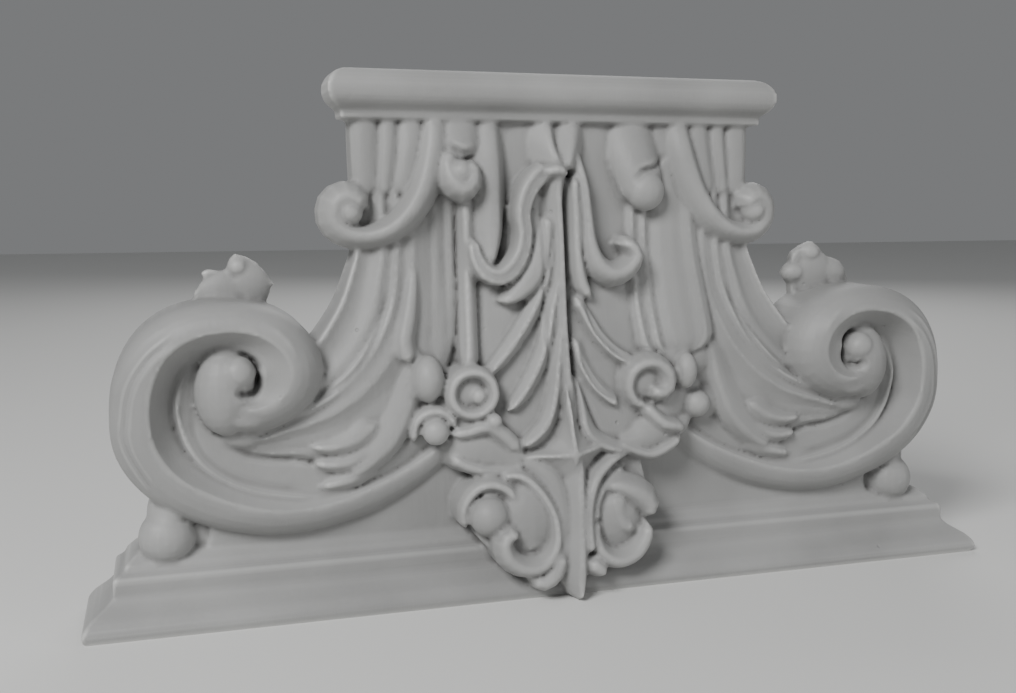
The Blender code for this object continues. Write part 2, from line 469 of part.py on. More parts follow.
def run_together(item, grain, softening):
    """Join overlapping bodies into one skin and ease its edges."""
    skin = item.modifiers.new("skin", "REMESH")
    skin.mode = "VOXEL"
    skin.voxel_size = grain * MM
    ease = item.modifiers.new("ease", "SMOOTH")
    ease.factor = 0.5
    ease.iterations = int(softening)
    settle(item)


def thin(item, triangles):
    """Bring a mesh down to the number of triangles wanted."""
    now = sum(len(face.vertices) - 2 for face in item.data.polygons)
    fewer = item.modifiers.new("fewer", "DECIMATE")
    fewer.ratio = min(1.0, triangles / now)
    fewer.use_collapse_triangulate = True
    settle(item)


def returned_moulding(profile, half_width):
    """Sweep a moulding profile of (inset, z) round the left end, the front and the right end."""
    bm = bmesh.new()
    rings = []
    for inset, z, proud in profile:
        end = half_width - inset
        rings.append([place(-end, z, -BURY), place(-end, z, proud), place(end, z, proud),
                      place(end, z, -BURY)])
    sweep(bm, rings)
    bmesh.ops.recalc_face_normals(bm, faces=bm.faces)
    return bm


def abacus():
    """The wide moulded block underneath: rounded foot, hollow rise, step and small cavetto."""
    run = [(1.2, 0.0), (0.3, 1.2), (0.0, 3.0), (0.4, 4.6), (1.4, 6.0), (3.4, 8.0), (6.4, 9.8),
           (9.2, 11.6), (10.8, 13.2), (11.4, 13.4), (11.6, 20.0), (12.2, 21.0), (15.4, 22.4),
           (16.2, 24.6), (18.0, 26.0), (20.5, 28.0)]
    profile = [(inset, z, PATTERN_DEPTH - inset) for inset, z in run]
    return returned_moulding(profile, PATTERN_WIDTH / 2)


def half_round():
    """The half-round moulding and thin fillet round the top of the neck."""
    centre = PATTERN_HEIGHT - TORUS_RADIUS
    foot = centre - TORUS_RADIUS - 4.2
    run = [(TORUS_RADIUS + 3.6, foot), (TORUS_RADIUS - 2.4, foot + 0.8),
           (TORUS_RADIUS - 2.8, foot + 3.6), (TORUS_RADIUS + 0.6, foot + 4.4)]
    for turn in np.linspace(-62, 90, 9):
        angle = math.radians(turn)
        run.append((TORUS_RADIUS * (1 - math.cos(angle)), centre + TORUS_RADIUS * math.sin(angle)))
    profile = [(inset, z, TORUS_PROUD - inset) for inset, z in run]
    return returned_moulding(profile, TORUS_WIDTH / 2)


def join_bodies(item, other):
    """Unite two closed bodies."""
    unite = item.modifiers.new("unite", "BOOLEAN")
    unite.operation = "UNION"
    unite.solver = "EXACT"
    unite.object = other
    settle(item)
    bpy.data.objects.remove(other, do_unlink=True)


def trim_flat(item):
    """Saw the back, the underside and the top flat."""
    bm = bmesh.new()
    bm.from_mesh(item.data)
    cuts = [(place(0, 0, 0), Vector((0, 1, 0))), (place(0, 0, 0), Vector((0, 0, -1))),
            (place(0, PATTERN_HEIGHT, 0), Vector((0, 0, 1)))]
    for spot, outward in cuts:
        everything = bm.verts[:] + bm.edges[:] + bm.faces[:]
        bmesh.ops.bisect_plane(bm, geom=everything, dist=1e-6, plane_co=spot, plane_no=outward,
                               clear_outer=True)
        rim = [edge for edge in bm.edges if edge.is_boundary]
        bmesh.ops.contextual_create(bm, geom=rim)
    bmesh.ops.triangulate(bm, faces=[face for face in bm.faces if len(face.verts) > 3])
    bmesh.ops.recalc_face_normals(bm, faces=bm.faces)
    bm.to_mesh(item.data)
    bm.free()


def painted_wood():
    """Carved timber under flat stone-grey paint."""
    material = bpy.data.materials.new("painted carved wood")
    material.use_nodes = True
    shader = material.node_tree.nodes["Principled BSDF"]
    shader.inputs["Base Color"].default_value = (0.33, 0.33, 0.33, 1)
    shader.inputs["Roughness"].default_value = 0.55
    return material


def build():
    """Make the capital."""
    clear_scene()
    capital = to_object("capital", carving())
    run_together(capital, GRAIN, SOFTENING)
    thin(capital, TRIANGLES)
    join_bodies(capital, to_object("abacus", abacus()))
    join_bodies(capital, to_object("half round", half_round()))
    trim_flat(capital)
    capital.data.materials.clear()
    capital.data.materials.append(painted_wood())
    return capital


build()
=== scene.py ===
# %% [markdown]
# # A carved wooden pilaster capital
#
# The real thing is one block of close-grained timber, carved on its front only and painted a flat
# stone grey. It stands on its wide moulded abacus, which is the way up the photograph shows it;
# on a wall it is turned over, with the abacus under the beam. This lesson carves the block with
# swept members, runs them into one skin the way a carver's cuts run into each other, then paints
# and lights it.

# %% Load the frame
import math

import bmesh
import bpy
import numpy as np
from mathutils import Matrix, Vector


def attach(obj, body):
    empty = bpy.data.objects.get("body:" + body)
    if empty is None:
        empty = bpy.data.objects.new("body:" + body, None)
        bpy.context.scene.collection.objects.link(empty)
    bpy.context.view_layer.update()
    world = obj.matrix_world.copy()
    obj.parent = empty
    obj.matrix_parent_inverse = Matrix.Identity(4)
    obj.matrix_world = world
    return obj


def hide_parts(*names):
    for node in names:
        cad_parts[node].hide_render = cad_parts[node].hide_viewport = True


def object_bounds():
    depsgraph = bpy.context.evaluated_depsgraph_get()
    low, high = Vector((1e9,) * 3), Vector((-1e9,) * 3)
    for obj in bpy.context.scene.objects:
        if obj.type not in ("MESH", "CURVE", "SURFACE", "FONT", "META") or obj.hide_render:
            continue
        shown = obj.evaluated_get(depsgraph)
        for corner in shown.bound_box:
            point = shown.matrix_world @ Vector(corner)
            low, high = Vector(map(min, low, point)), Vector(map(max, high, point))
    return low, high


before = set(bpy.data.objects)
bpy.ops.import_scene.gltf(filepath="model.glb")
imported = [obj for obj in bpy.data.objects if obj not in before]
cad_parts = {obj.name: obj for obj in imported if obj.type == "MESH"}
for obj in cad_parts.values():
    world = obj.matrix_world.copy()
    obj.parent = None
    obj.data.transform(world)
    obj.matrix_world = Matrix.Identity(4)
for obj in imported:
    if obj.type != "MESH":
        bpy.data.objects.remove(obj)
cad_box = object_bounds()
print("pieces in the frame:", sorted(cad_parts))
print("block in the frame:", [tuple(round(c, 4) for c in corner) for corner in cad_box])

# %% [markdown]
# ## The carver's pattern
#
# A carver draws the pattern full size before cutting. Here the pattern is in millimetres: x to the
# right from the middle, z up from the underside, and "proud" for how far a surface stands in front
# of the flat back. One function turns a pattern point into scene metres, so every number below can
# be read off a ruler.

# %% Pattern sizes
MM = 0.001
WIDTH = 400.0          # over the foot of the abacus
HEIGHT = 219.0
BASE_DEPTH = 44.0      # of the abacus, at its foot
BACK_Y = BASE_DEPTH / 2
NECK_WIDTH = 178.0
TORUS_WIDTH = 200.0    # over the ends of the half-round moulding
TORUS_RADIUS = 8.2
TORUS_PROUD = 20.6
PLATE_PROUD = 23.5     # the plain face behind the corner balls
BURY = 1.5             # how far each member runs on behind the back, to be sawn off


def place(x, z, proud):
    """A point of the pattern, given as right, up and proud of the back, in metres."""
    return Vector((x, BACK_Y - proud, z)) * MM


print("pattern", WIDTH, "x", HEIGHT, "mm, block", BASE_DEPTH, "mm deep")

# %% [markdown]
# ## Sweeping a carved member
#
# Ribs, rims, ribbons and leaves are all long shapes with a rounded or fluted cross-section. Each is
# given as a few rows: where its middle runs, how proud it stands and how wide it is. The
# rows are filled in with a smooth curve, a ring of points is set at each step, and a face is
# extruded from ring to ring. Extruding one face keeps every member a closed body, which the
# running-together step later needs.

# %% Helpers for swept members
RING_STEP = 2.5        # from one ring of a swept member to the next
BLUNT_END = 0.25       # the share of its width left at the very end of a member
END_DROP = 0.7         # the share of its rise by which the crest sinks there


def smooth_rows(rows, step):
    """Fill the gaps between the given rows with an even, smooth run of rows."""
    rows = np.array(rows, dtype=float)
    padded = np.vstack([2 * rows[0] - rows[1], rows, 2 * rows[-1] - rows[-2]])
    filled = []
    for i in range(1, len(padded) - 2):
        before, start, end, after = padded[i - 1:i + 3]
        count = max(2, int(math.hypot(*(end[:2] - start[:2])) / step))
        for t in np.arange(count) / count:
            filled.append(0.5 * (2 * start + (end - before) * t
                                 + (2 * before - 5 * start + 4 * end - after) * t * t
                                 + (3 * start - before - 3 * end + after) * t ** 3))
    filled.append(rows[-1])
    return np.array(filled)


def rounded(lean, fullness):
    """Cross-section of a rounded member: places across it and how far each falls."""
    shape = []
    for across in np.linspace(-1, 1, 11):
        if across < lean:
            shape.append((across, ((lean - across) / (lean + 1)) ** fullness))
        else:
            shape.append((across, ((across - lean) / (1 - lean)) ** fullness))
    return shape


def sweep(bm, rings):
    """Draw a face out through a run of rings of points, as one closed body."""
    face = bm.faces.new([bm.verts.new(point) for point in rings[0]])
    for i, ring in enumerate(rings[1:]):
        grown = bmesh.ops.extrude_face_region(bm, geom=[face])
        if i > 0:
            bm.faces.remove(face)
        face = next(item for item in grown["geom"] if isinstance(item, bmesh.types.BMFace))
        for loop, point in zip(face.loops, ring):
            loop.vert.co = point


def member(bm, rows, rise=None, lean=0.0, fullness=2.2, root=-BURY, side=1, blunt=(1.0, 1.0),
           shape=None):
    """Sweep a carved member along rows of (x, z, proud, half width).

    Its section falls from crest to edge by the rise, or by a fifth value in each row. Blunt says
    how far each end takes to round off, as a share of its half width.
    """
    path = smooth_rows([row if rise is None else (*row, rise) for row in rows], RING_STEP)
    steps = np.hypot(*np.diff(path[:, :2], axis=0).T)
    along = np.concatenate([[0.0], np.cumsum(steps)])
    run = np.gradient(path[:, :2], axis=0)
    run /= np.maximum(np.hypot(run[:, 0], run[:, 1])[:, None], 1e-6)
    section = shape or rounded(lean, fullness)
    rings = []
    for i, (x, z, proud, half_width, row_rise) in enumerate(path):
        gap = min(along[i] / max(blunt[0] * path[0][3], 0.01),
                  (along[-1] - along[i]) / max(blunt[1] * path[-1][3], 0.01), 1.0)
        ease = BLUNT_END + (1 - BLUNT_END) * math.sqrt(max(1 - (1 - gap) ** 2, 0.0))
        width = half_width * ease
        crest = proud - (1 - ease) * row_rise * END_DROP
        ring = [(across * width, crest - row_rise * fall) for across, fall in section]
        low = root if root < 0 else min(root, proud - row_rise - 0.5)
        ring += [(width, low), (-width, low)]
        rings.append([place(side * (x - run[i, 1] * a), z + run[i, 0] * a, p) for a, p in ring])
    sweep(bm, rings)


carving = bmesh.new()
print("rings every", RING_STEP, "mm")

# %% [markdown]
# ## Bell and middle tongue
#
# The bell is the plain core behind the leaves: the shaft's width at the neck, flaring towards the
# scrolls below. It is a stack of flat-backed sections swept up the height. A broad swelling tongue
# down its middle lifts the centre, so the stem and ribs sit on a full form and not on a board.

# %% Bell and middle tongue
def bell(bm):
    """The core behind the leaves, as a stack of flat-backed sections up the height."""
    neck = NECK_WIDTH / 2
    levels = [(14, 108, 22.5), (30, 108, 22.5), (64, 108, 22.5), (85, 110, 21), (100, 110, 19.5),
              (111, 105, 18), (122, 97, 16.5), (134, 92, 15), (146, neck, 13.5), (165, neck - 1, 12),
              (190, neck, 11), (HEIGHT + 2, neck, 11)]
    corner = 5.0
    rings = []
    for z, half, proud in levels:
        ring = [(-half, -BURY), (-half, proud - corner), (-half + corner * 0.3, proud - corner * 0.3),
                (-half + corner, proud), (half - corner, proud),
                (half - corner * 0.3, proud - corner * 0.3), (half, proud - corner), (half, -BURY)]
        rings.append([place(x, z, p) for x, p in ring])
    sweep(bm, rings)
    tongue = [(0, 206, 11, 44), (0, 175, 14.5, 44), (0, 150, 18, 44), (0, 125, 22.5, 44),
              (0, 105, 27, 46), (0, 88, 31, 46), (0, 72, 34.5, 40), (0, 60, 36.5, 30),
              (0, 51, 36, 18)]
    member(bm, tongue, rise=6, fullness=2.6, blunt=(0.01, 0.4))


bell(carving)
print("bell:", len(carving.faces), "faces so far")

# %% [markdown]
# ## Rims, balls and slabs
#
# Three more shapes are used again and again. A banked rim has one round flank and one long hollow
# one, so its section is given by how wide and how deep each flank is. A ball is Blender's sphere,
# stretched into an egg where a bud or a petal needs it. A slab is an outline drawn straight out
# from the back, for whatever only has to fill the space behind the carving.

# %% Helpers for rims, balls and slabs
ROUND_FLANK = (1.0, 0.96, 0.87, 0.72, 0.5, 0.25, 0.0)
HOLLOW_FLANK = (0.12, 0.3, 0.5, 0.75, 1.0)
RIM_SKIRT = 2.5        # how far a rim runs on past its hollow flank, under what lies next to it


def banked(bm, rows, root=-BURY, side=1):
    """Sweep a rim with a round outer flank, a sharp crest and a hollow slope on its left.

    Each row is (x, z, proud, outer width, inner width, outer fall, inner fall).
    """
    path = smooth_rows(rows, RING_STEP)
    run = np.gradient(path[:, :2], axis=0)
    run /= np.hypot(run[:, 0], run[:, 1])[:, None]
    rings = []
    for i, (x, z, proud, outer, inner, outer_fall, inner_fall) in enumerate(path):
        ring = [(-outer, root)]
        for share in ROUND_FLANK:
            ring.append((-outer * share, proud - outer_fall * (1 - math.sqrt(1 - share ** 2))))
        for share in HOLLOW_FLANK:
            ring.append((inner * share, proud - inner_fall * (1 - (1 - share) ** 1.7)))
        ring += [(inner + RIM_SKIRT, proud - inner_fall - 4), (inner + RIM_SKIRT, root)]
        rings.append([place(side * (x - run[i, 1] * a), z + run[i, 0] * a, p) for a, p in ring])
    sweep(bm, rings)


def ball(bm, x, z, proud, radius, tall=None, deep=None, side=1):
    """A ball or egg, its middle standing proud of the back by the given amount."""
    scale = Matrix.Diagonal((radius * MM, (deep or radius) * MM, (tall or radius) * MM, 1))
    spot = Matrix.Translation(place(side * x, z, proud))
    bmesh.ops.create_uvsphere(bm, u_segments=20, v_segments=12, radius=1.0, matrix=spot @ scale)


def slab(bm, outline, low, high, side=1):
    """An upright slab of the given outline, from one proud level to another."""
    sweep(bm, [[place(side * x, z, proud) for x, z in outline] for proud in (low, high)])


print("a rim's section has", len(ROUND_FLANK) + len(HOLLOW_FLANK) + 3, "points")

# %% [markdown]
# ## Corner scrolls
#
# Each scroll is a rim that coils in on itself, a sunk channel, an inner ledge and a coiled eye. The
# rim's section leans: round on the outside, and sloping long and easy into the channel on the
# inside. Both sides of the capital use one set of rows, mirrored, because the carver cut them from
# one template.

# %% Corner scrolls
def volute(bm, side):
    """The big corner scroll: rim, sunk channel, inner ledge and coiled eye."""
    outline = [(60, 55), (75, 43), (98, 32.5), (123, 30), (147, 34), (168, 45.5), (181, 58), (186.5, 72),
               (187, 86), (183.5, 99), (176, 111.5), (164, 121), (147, 125.5), (130, 124), (117, 116),
               (109, 108), (104, 99), (70, 99)]
    slab(bm, outline, -BURY, 20, side)
    rim = [(50, 68, 26, 10, 6, 8, 5), (68, 57, 27.5, 11.5, 7, 9, 6), (86, 49, 29.5, 12, 8, 10, 6),
           (103, 44, 31, 11.5, 8.5, 11, 5.5), (119, 42.6, 32, 12.2, 9.5, 12, 6),
           (134, 45, 33, 13.2, 11, 13, 8.5), (150, 51.6, 34, 14.8, 12.5, 14, 11.5),
           (163, 60.5, 34.8, 15.4, 12.5, 14, 13), (170.5, 72, 35.2, 16, 12, 14, 13.5),
           (172.3, 85, 35.6, 15, 11.5, 14, 13.5), (170.8, 96, 36, 14.6, 11, 14, 13.5),
           (166, 106, 36.5, 13.4, 10.5, 14, 13), (158, 112.8, 37, 12, 9.5, 14, 11.5),
           (147, 116, 37.5, 10.8, 8.5, 14, 9.5), (136, 116, 38, 10.4, 8, 14, 8),
           (127, 112.6, 38.5, 11.4, 8.5, 15, 6.5), (121, 107, 39, 12.6, 10, 16, 5.5),
           (118.6, 99.5, 39, 14.2, 11.4, 16, 5), (120.5, 92.8, 38.5, 14, 10, 16, 4.5),
           (125.5, 87.8, 38, 12, 7, 15, 4), (132, 85.8, 37.5, 11.4, 3.5, 14, 3),
           (138.5, 86.4, 37, 11, 2, 13, 2)]
    banked(bm, rim, side=side)
    ball(bm, 143.4, 91.5, 27, 12.2, tall=17.2, deep=11.6, side=side)
    ball(bm, 138.8, 99.4, 32, 6.8, deep=6.8, side=side)
    tail = [(124, 84.6, 36, 6, 12), (133, 81.4, 36.4, 7, 12), (141, 82.6, 36.2, 7.6, 11),
            (147, 87, 35.5, 7, 10)]
    member(bm, tail, side=side, fullness=2.5)
    ball(bm, 137, 73, 22, 10, tall=6, deep=7, side=side)
    ledge = [(97, 46.5, 28.5, 2.4, 10, 2.5, 0.8), (107, 46.6, 28, 2.4, 11, 3, 1),
             (120, 48, 27.4, 2.4, 14, 4, 1.2), (135, 51.4, 27, 2.4, 16, 5, 1.4),
             (150, 59.6, 26.6, 2.4, 14, 5, 1.4), (158, 70, 26.4, 2.4, 10, 5, 1.2),
             (161.8, 84, 26, 2.4, 7, 5, 1), (160.5, 94, 25.5, 2.4, 6, 5, 1),
             (155.5, 102, 24.6, 2.4, 5, 4, 1), (148.5, 107, 23.6, 2.4, 4, 4, 1)]
    banked(bm, ledge, side=side)


for side in (-1, 1):
    volute(carving, side)
print("scrolls:", len(carving.faces), "faces so far")

# %% [markdown]
# ## Flanks and broad leaves
#
# Down each side of the bell runs a fluted band, and inside it a broad leaf that sweeps out into the
# scroll. Their cross-sections are given as a few places across the width and how far each falls
# below the crest, which is how a moulding plane's profile would be drawn.

# %% Flanks and broad leaves
def flank(bm, side):
    """The fluted band down the side of the bell and the broad leaf sweeping into the scroll."""
    band = [(82.2, 192, 12.5, 6.6), (82.2, 165, 15, 6.8), (82.4, 146, 18, 7), (85.2, 133, 20.5, 8),
            (88.8, 121.5, 23, 9), (94.5, 111, 25.5, 9.6), (102, 102, 27.5, 9), (110, 95.5, 28.5, 7.5),
            (119, 90, 28, 5.5)]
    fluted = [(-1, 1.1), (-0.94, 0.55), (-0.8, 0.12), (-0.6, 0.0), (-0.38, 0.12), (-0.1, 0.45),
              (0.2, 0.62), (0.5, 0.6), (0.74, 0.4), (0.88, 0.28), (0.96, 0.45), (1, 1.0)]
    member(bm, band, side=side, rise=5.5, shape=fluted)
    member(bm, [(76, 165, 13.5, 4), (76.4, 145, 17, 4), (79, 126, 20.5, 4.4), (85, 112, 23.5, 5),
                (93, 101, 25.5, 5)], side=side, rise=1.5)
    leaf = [(61, 200, 12.5, 14.5), (61, 170, 15.5, 15), (61, 150, 18, 15.2), (61.5, 136, 20, 15.6),
            (63, 123, 22.5, 16.4), (67, 110, 25.5, 18), (73.5, 97.5, 28, 19), (83.5, 86.5, 30, 18.5),
            (96, 78.5, 31, 16), (108, 74.5, 31, 12.5), (120, 72, 30, 9.5), (131, 70, 28.5, 5.5),
            (141, 71.5, 26.5, 2.5)]
    folded = [(-1, 0.9), (-0.95, 0.62), (-0.72, 0.4), (-0.5, 0.5), (-0.28, 0.38), (-0.05, 0.42),
              (0.15, 0.25), (0.32, 0.02), (0.45, 0.2), (0.6, 0.3), (0.74, 0.05), (0.86, 0.2),
              (0.94, 0.6), (1, 1.2)]
    member(bm, leaf, side=side, rise=5.5, shape=folded)


def frayed_tip(bm, side):
    """The torn leaf end laid over the inside of the big scroll."""
    fingers = [[(84, 76, 31, 5.5), (94, 69.5, 32.6, 4.6), (103, 67.4, 32.4, 3.2), (111, 67.8, 31, 1.6)],
               [(82, 68, 30.5, 5.5), (92, 62, 32, 4.6), (101, 60, 31.8, 3.4), (109.5, 60.6, 30.4, 1.6)],
               [(84, 60, 30, 5), (93, 54.5, 31.4, 4), (101, 52, 31, 3), (108, 50.6, 29.5, 1.5)]]
    for finger in fingers:
        member(bm, finger, side=side, rise=2.6, fullness=1.4)
    member(bm, [(60, 74, 25, 7), (72, 64, 26.5, 8), (84, 57, 27.5, 8), (97, 52, 27.5, 6)], side=side,
           rise=4)
    edge = [(66.5, 106, 26.5, 5), (69.5, 95, 29, 6), (73.5, 82, 31, 7), (79.5, 70.5, 32.2, 7.5),
            (88, 62, 32.6, 6.5), (96, 56, 32, 4.5)]
    member(bm, edge, side=side, rise=4, fullness=1.5, lean=-0.35)


for side in (-1, 1):
    flank(carving, side)
    frayed_tip(carving, side)
print("flanks:", len(carving.faces), "faces so far")

# %% [markdown]
# ## Neck leaves and small scrolls
#
# Under the half-round moulding stand short reeds, and an arm on each side drops and rolls up into a
# small scroll that stands clear of the neck. The arm is one member whose path curls.

# %% Neck leaves and small scrolls
def neck_leaves(bm, side):
    """Short reeds under the half-round, and the arm that rolls into the small scroll."""
    member(bm, [(84.3, 206, 12, 5.8), (84.3, 190, 13.8, 5.8), (84, 168, 14.5, 5.4)], side=side,
           rise=2.6, fullness=2.5)
    member(bm, [(74.6, 206, 12, 4.2), (75, 188, 14.6, 4.2), (77, 168, 15.4, 4)], side=side,
           rise=3, fullness=2.5)
    member(bm, [(65, 206, 12, 5.6), (65.5, 188, 15.4, 5.6), (69, 168, 16.6, 5)], side=side,
           rise=3, fullness=2.5)
    arm = [(53.5, 206, 11.5, 7), (55, 192, 18, 7), (57.5, 180, 21, 7), (61.5, 169, 23, 6.6),
           (68, 159.4, 24, 6), (76.5, 153, 23.5, 5.4), (86, 150.8, 21.5, 5.2), (94, 152.8, 20.5, 5.4),
           (98.2, 158, 20, 5.8), (97.6, 164.6, 20.5, 6), (92.8, 168.2, 21, 5.8),
           (88, 166, 21.5, 5.2), (88.8, 161.6, 21, 4.6)]
    member(bm, arm, side=side, rise=7, root=2.5, lean=0.2)
    ball(bm, 91.6, 161.4, 15.4, 5.6, deep=6.4, side=side)


for side in (-1, 1):
    neck_leaves(carving, side)
print("neck:", len(carving.faces), "faces so far")

# %% [markdown]
# ## Left of the stem
#
# The strips, the hanging curl and the folded ribbon left of the stem. The ribbon is hollow down its
# middle, so its section is channelled.

# %% Left of the stem
def middle_left(bm):
    """The strips, the hanging curl and the folded ribbon left of the stem."""
    member(bm, [(-66, 140, 19, 3), (-67, 130, 22.5, 4), (-69, 119, 26, 4.6), (-71.5, 108, 29, 5),
                (-70, 100, 31, 5)], rise=5)
    member(bm, [(-45.5, 206, 12, 11.4), (-45.5, 196, 15.4, 10.8), (-45.6, 189, 18.4, 9.6),
                (-46, 183, 20, 7.6)], rise=5, fullness=2.6, blunt=(0.01, 0.8))
    hook = [(-49.6, 188, 18.6, 5), (-51, 181, 22.6, 5.4), (-49.6, 174.6, 25.6, 6), (-45.6, 170.8, 27, 6),
            (-41.8, 173.4, 26.8, 5), (-41.4, 178.6, 25.6, 4), (-44.6, 181, 24.6, 3)]
    member(bm, hook, rise=6.5)
    ball(bm, -46, 177, 19.6, 5.6, deep=6.2)
    member(bm, [(-42.5, 180, 15.5, 3.6), (-42.5, 165, 19, 3.6), (-43, 140, 22.4, 3.6),
                (-43.5, 118, 26.5, 3.8), (-44.5, 97, 32, 4)], rise=4, lean=-0.4)
    member(bm, [(-33.5, 206, 11.5, 9), (-33.5, 185, 18.5, 9), (-33.5, 165, 22, 8.6), (-34, 152, 24.6, 7.6),
                (-35.5, 143, 26.4, 6), (-36.4, 138, 27, 4.6)], rise=8, lean=0.3, fullness=1.7,
           blunt=(0.01, 0.8))
    ribbon = [(-7, 180, 24, 4), (-13, 176, 25.5, 4.6), (-18, 169.5, 26.5, 4.4), (-20.4, 161, 27, 4),
              (-19.8, 152.5, 28, 3.8), (-21.4, 144.5, 29, 4), (-25.4, 138.2, 30, 4.4),
              (-31, 134.6, 30.5, 4.2), (-37, 136.4, 29.6, 3.8), (-40.6, 142.5, 27.4, 3.2),
              (-41.4, 150, 24.6, 2.4)]
    member(bm, [(-13, 170, 21, 4), (-14.5, 156, 23, 4.6), (-17, 143, 25, 5)], rise=2)
    channelled = [(-1, 1), (-0.88, 0.45), (-0.65, 0.1), (-0.35, 0.0), (0, 0.16), (0.35, 0.1),
                  (0.65, 0.05), (0.88, 0.4), (1, 1)]
    member(bm, ribbon, rise=5.5, shape=channelled)
    member(bm, [(-9, 160, 24.5, 4), (-12, 147, 27, 5.4), (-15.5, 137, 28.6, 6), (-20.5, 130.4, 29.4, 5.4),
                (-26, 126, 29, 3.8), (-31.4, 124, 27.5, 1.6)], rise=5, lean=0.3, blunt=(0.3, 1))


middle_left(carving)
print("left middle:", len(carving.faces), "faces so far")

# %% [markdown]
# ## Right of the stem
#
# The right side is not a mirror of the left: here one broad reeded leaf with a rounded tip takes the
# place of the strips, and the ribbon curls the other way.

# %% Right of the stem
def middle_right(bm):
    """The broad rounded leaf, hanging curl and curling ribbon right of the stem."""
    broad = [(46.5, 203, 12, 17), (46.5, 165, 17.5, 17.5), (46.5, 142, 21.5, 18.5),
             (48, 122, 26, 19.5), (49.5, 108, 30, 19), (50.5, 98, 32, 17.5)]
    reeded = [(-1, 1), (-0.93, 0.5), (-0.8, 0.25), (-0.66, 0.55), (-0.5, 0.2), (-0.36, 0.55),
              (-0.1, 0.15), (0.2, 0.04), (0.45, 0.16), (0.7, 0.02), (0.9, 0.35), (1, 0.9)]
    member(bm, broad, rise=6.5, shape=reeded, blunt=(0.2, 0.5))
    member(bm, [(33, 206, 11.5, 12.4), (33, 195, 15.5, 12.2), (33.6, 186, 19.5, 11.6),
                (35, 178, 22.5, 10.6), (36.6, 169, 24, 9.4), (37, 164, 24, 8.4)], rise=6.5, fullness=2.4,
           blunt=(0.01, 0.9))
    ball(bm, 37.4, 169.8, 18.6, 8.6, deep=7.4)
    member(bm, [(-1, 178.5, 25.5, 5), (3, 189, 20.5, 6.6), (7, 204, 12, 8.6)], rise=6.5, fullness=1.6)
    member(bm, [(3.5, 176, 23, 2.6), (4, 158, 25, 2.8), (4, 143, 27, 2.8), (6, 130, 28.5, 3.4),
                (10, 124.5, 28.5, 2)], rise=4)
    ribbon = [(4.5, 188, 18.5, 3.4), (7.5, 173, 23, 4), (8.8, 158, 25.5, 4.2), (9.8, 147, 27.5, 4.8),
              (13, 138.5, 29.5, 5.4), (19.5, 134.2, 31, 5.6), (26.5, 136.5, 31.5, 5.2),
              (30.4, 142.4, 31, 4.4), (27, 147.4, 30, 3.6), (22.5, 147.6, 28.5, 2.6)]
    member(bm, ribbon, rise=7, lean=0.15)


middle_right(carving)
print("right middle:", len(carving.faces), "faces so far")

# %% [markdown]
# ## Stem and ribs
#
# The stem has a flared head, a knot and a long straight run down to the flower, standing further and
# further proud. Low ribs peel off it to both sides.

# %% Stem and ribs
def stem(bm):
    """The middle stem, its knot and its run down to the flower's pointed tip."""
    member(bm, [(-10, 206, 11.5, 9.5), (-9.6, 198, 15.5, 9), (-8.2, 188, 21, 6.6),
                (-5.8, 178.5, 25.5, 6.6), (-6, 170, 25, 6.2), (-5.5, 149, 27, 6.4),
                (-5.4, 116, 31, 6.4), (-4.8, 91, 35.5, 6.2), (-3.8, 72, 39, 6.2), (-2.6, 60, 43, 6.6),
                (-3, 48, 47, 6.4), (-4, 34, 51, 6.6), (-5, 20, 54.2, 7), (-5, 11, 55.2, 6.2),
                (-4.4, 4.5, 55.2, 4.2), (-3.8, -0.5, 54.6, 1.6)],
           rise=8, lean=0.35, fullness=1.3, blunt=(1, 0.2))
    member(bm, [(-13, 176.6, 24.5, 2.6), (-6, 178.6, 28, 3.4), (0.5, 177, 25.5, 2.8)], rise=5)
    broad_ribs = [[(-5.5, 152, 25, 2.2), (-10, 134, 27.4, 3), (-15.5, 121.5, 28.8, 3.4),
                   (-21.5, 112, 30.4, 3.6), (-28.5, 103, 31.8, 3.4), (-36, 95.4, 33, 2.4),
                   (-40, 91.5, 33, 1.2)],
                  [(-5, 134, 27.6, 2.2), (-8.6, 118.5, 30.2, 3), (-12, 105, 32.6, 3.4),
                   (-17, 94.5, 34.4, 3.5), (-23, 85.5, 36, 3.2), (-29.4, 78.6, 36.8, 1.6)],
                  [(-4.6, 114, 31, 2.2), (-6.8, 98, 33.6, 3), (-9, 84, 36.6, 3.4), (-13, 73.5, 39, 3.6),
                   (-19, 67, 39.6, 3.2), (-25, 63.6, 38.8, 2)]]
    for rib in broad_ribs:
        member(bm, rib, rise=3.4, fullness=1.05)
    thin_ribs = [[(3, 125, 28.5, 2.6), (8, 116, 29.6, 2.8), (13.5, 107.5, 31, 2.8),
                  (20.5, 100.5, 32.6, 2.8), (28, 96.5, 34, 2.8)],
                 [(1, 108, 31, 2.6), (5.5, 95, 33.2, 2.8), (11.5, 86, 35.2, 2.8), (20, 79, 36.8, 2.6)],
                 [(0, 92, 34.4, 3), (2.5, 76, 38.6, 3.4), (6.5, 67, 40.8, 3.6), (14, 62.5, 41.4, 3.4),
                  (22, 60, 39.8, 2.6)]]
    for rib in thin_ribs:
        member(bm, rib, rise=3.6, fullness=1.4, lean=-0.4)


stem(carving)
print("stem:", len(carving.faces), "faces so far")

# %% [markdown]
# ## Buds, rings and turned tips
#
# Either side of the stem's foot sits a cluster: a bud, a ring with a bead in it, and a turned leaf
# tip. Buds start as spheres, stretched; the rings are members whose path closes.

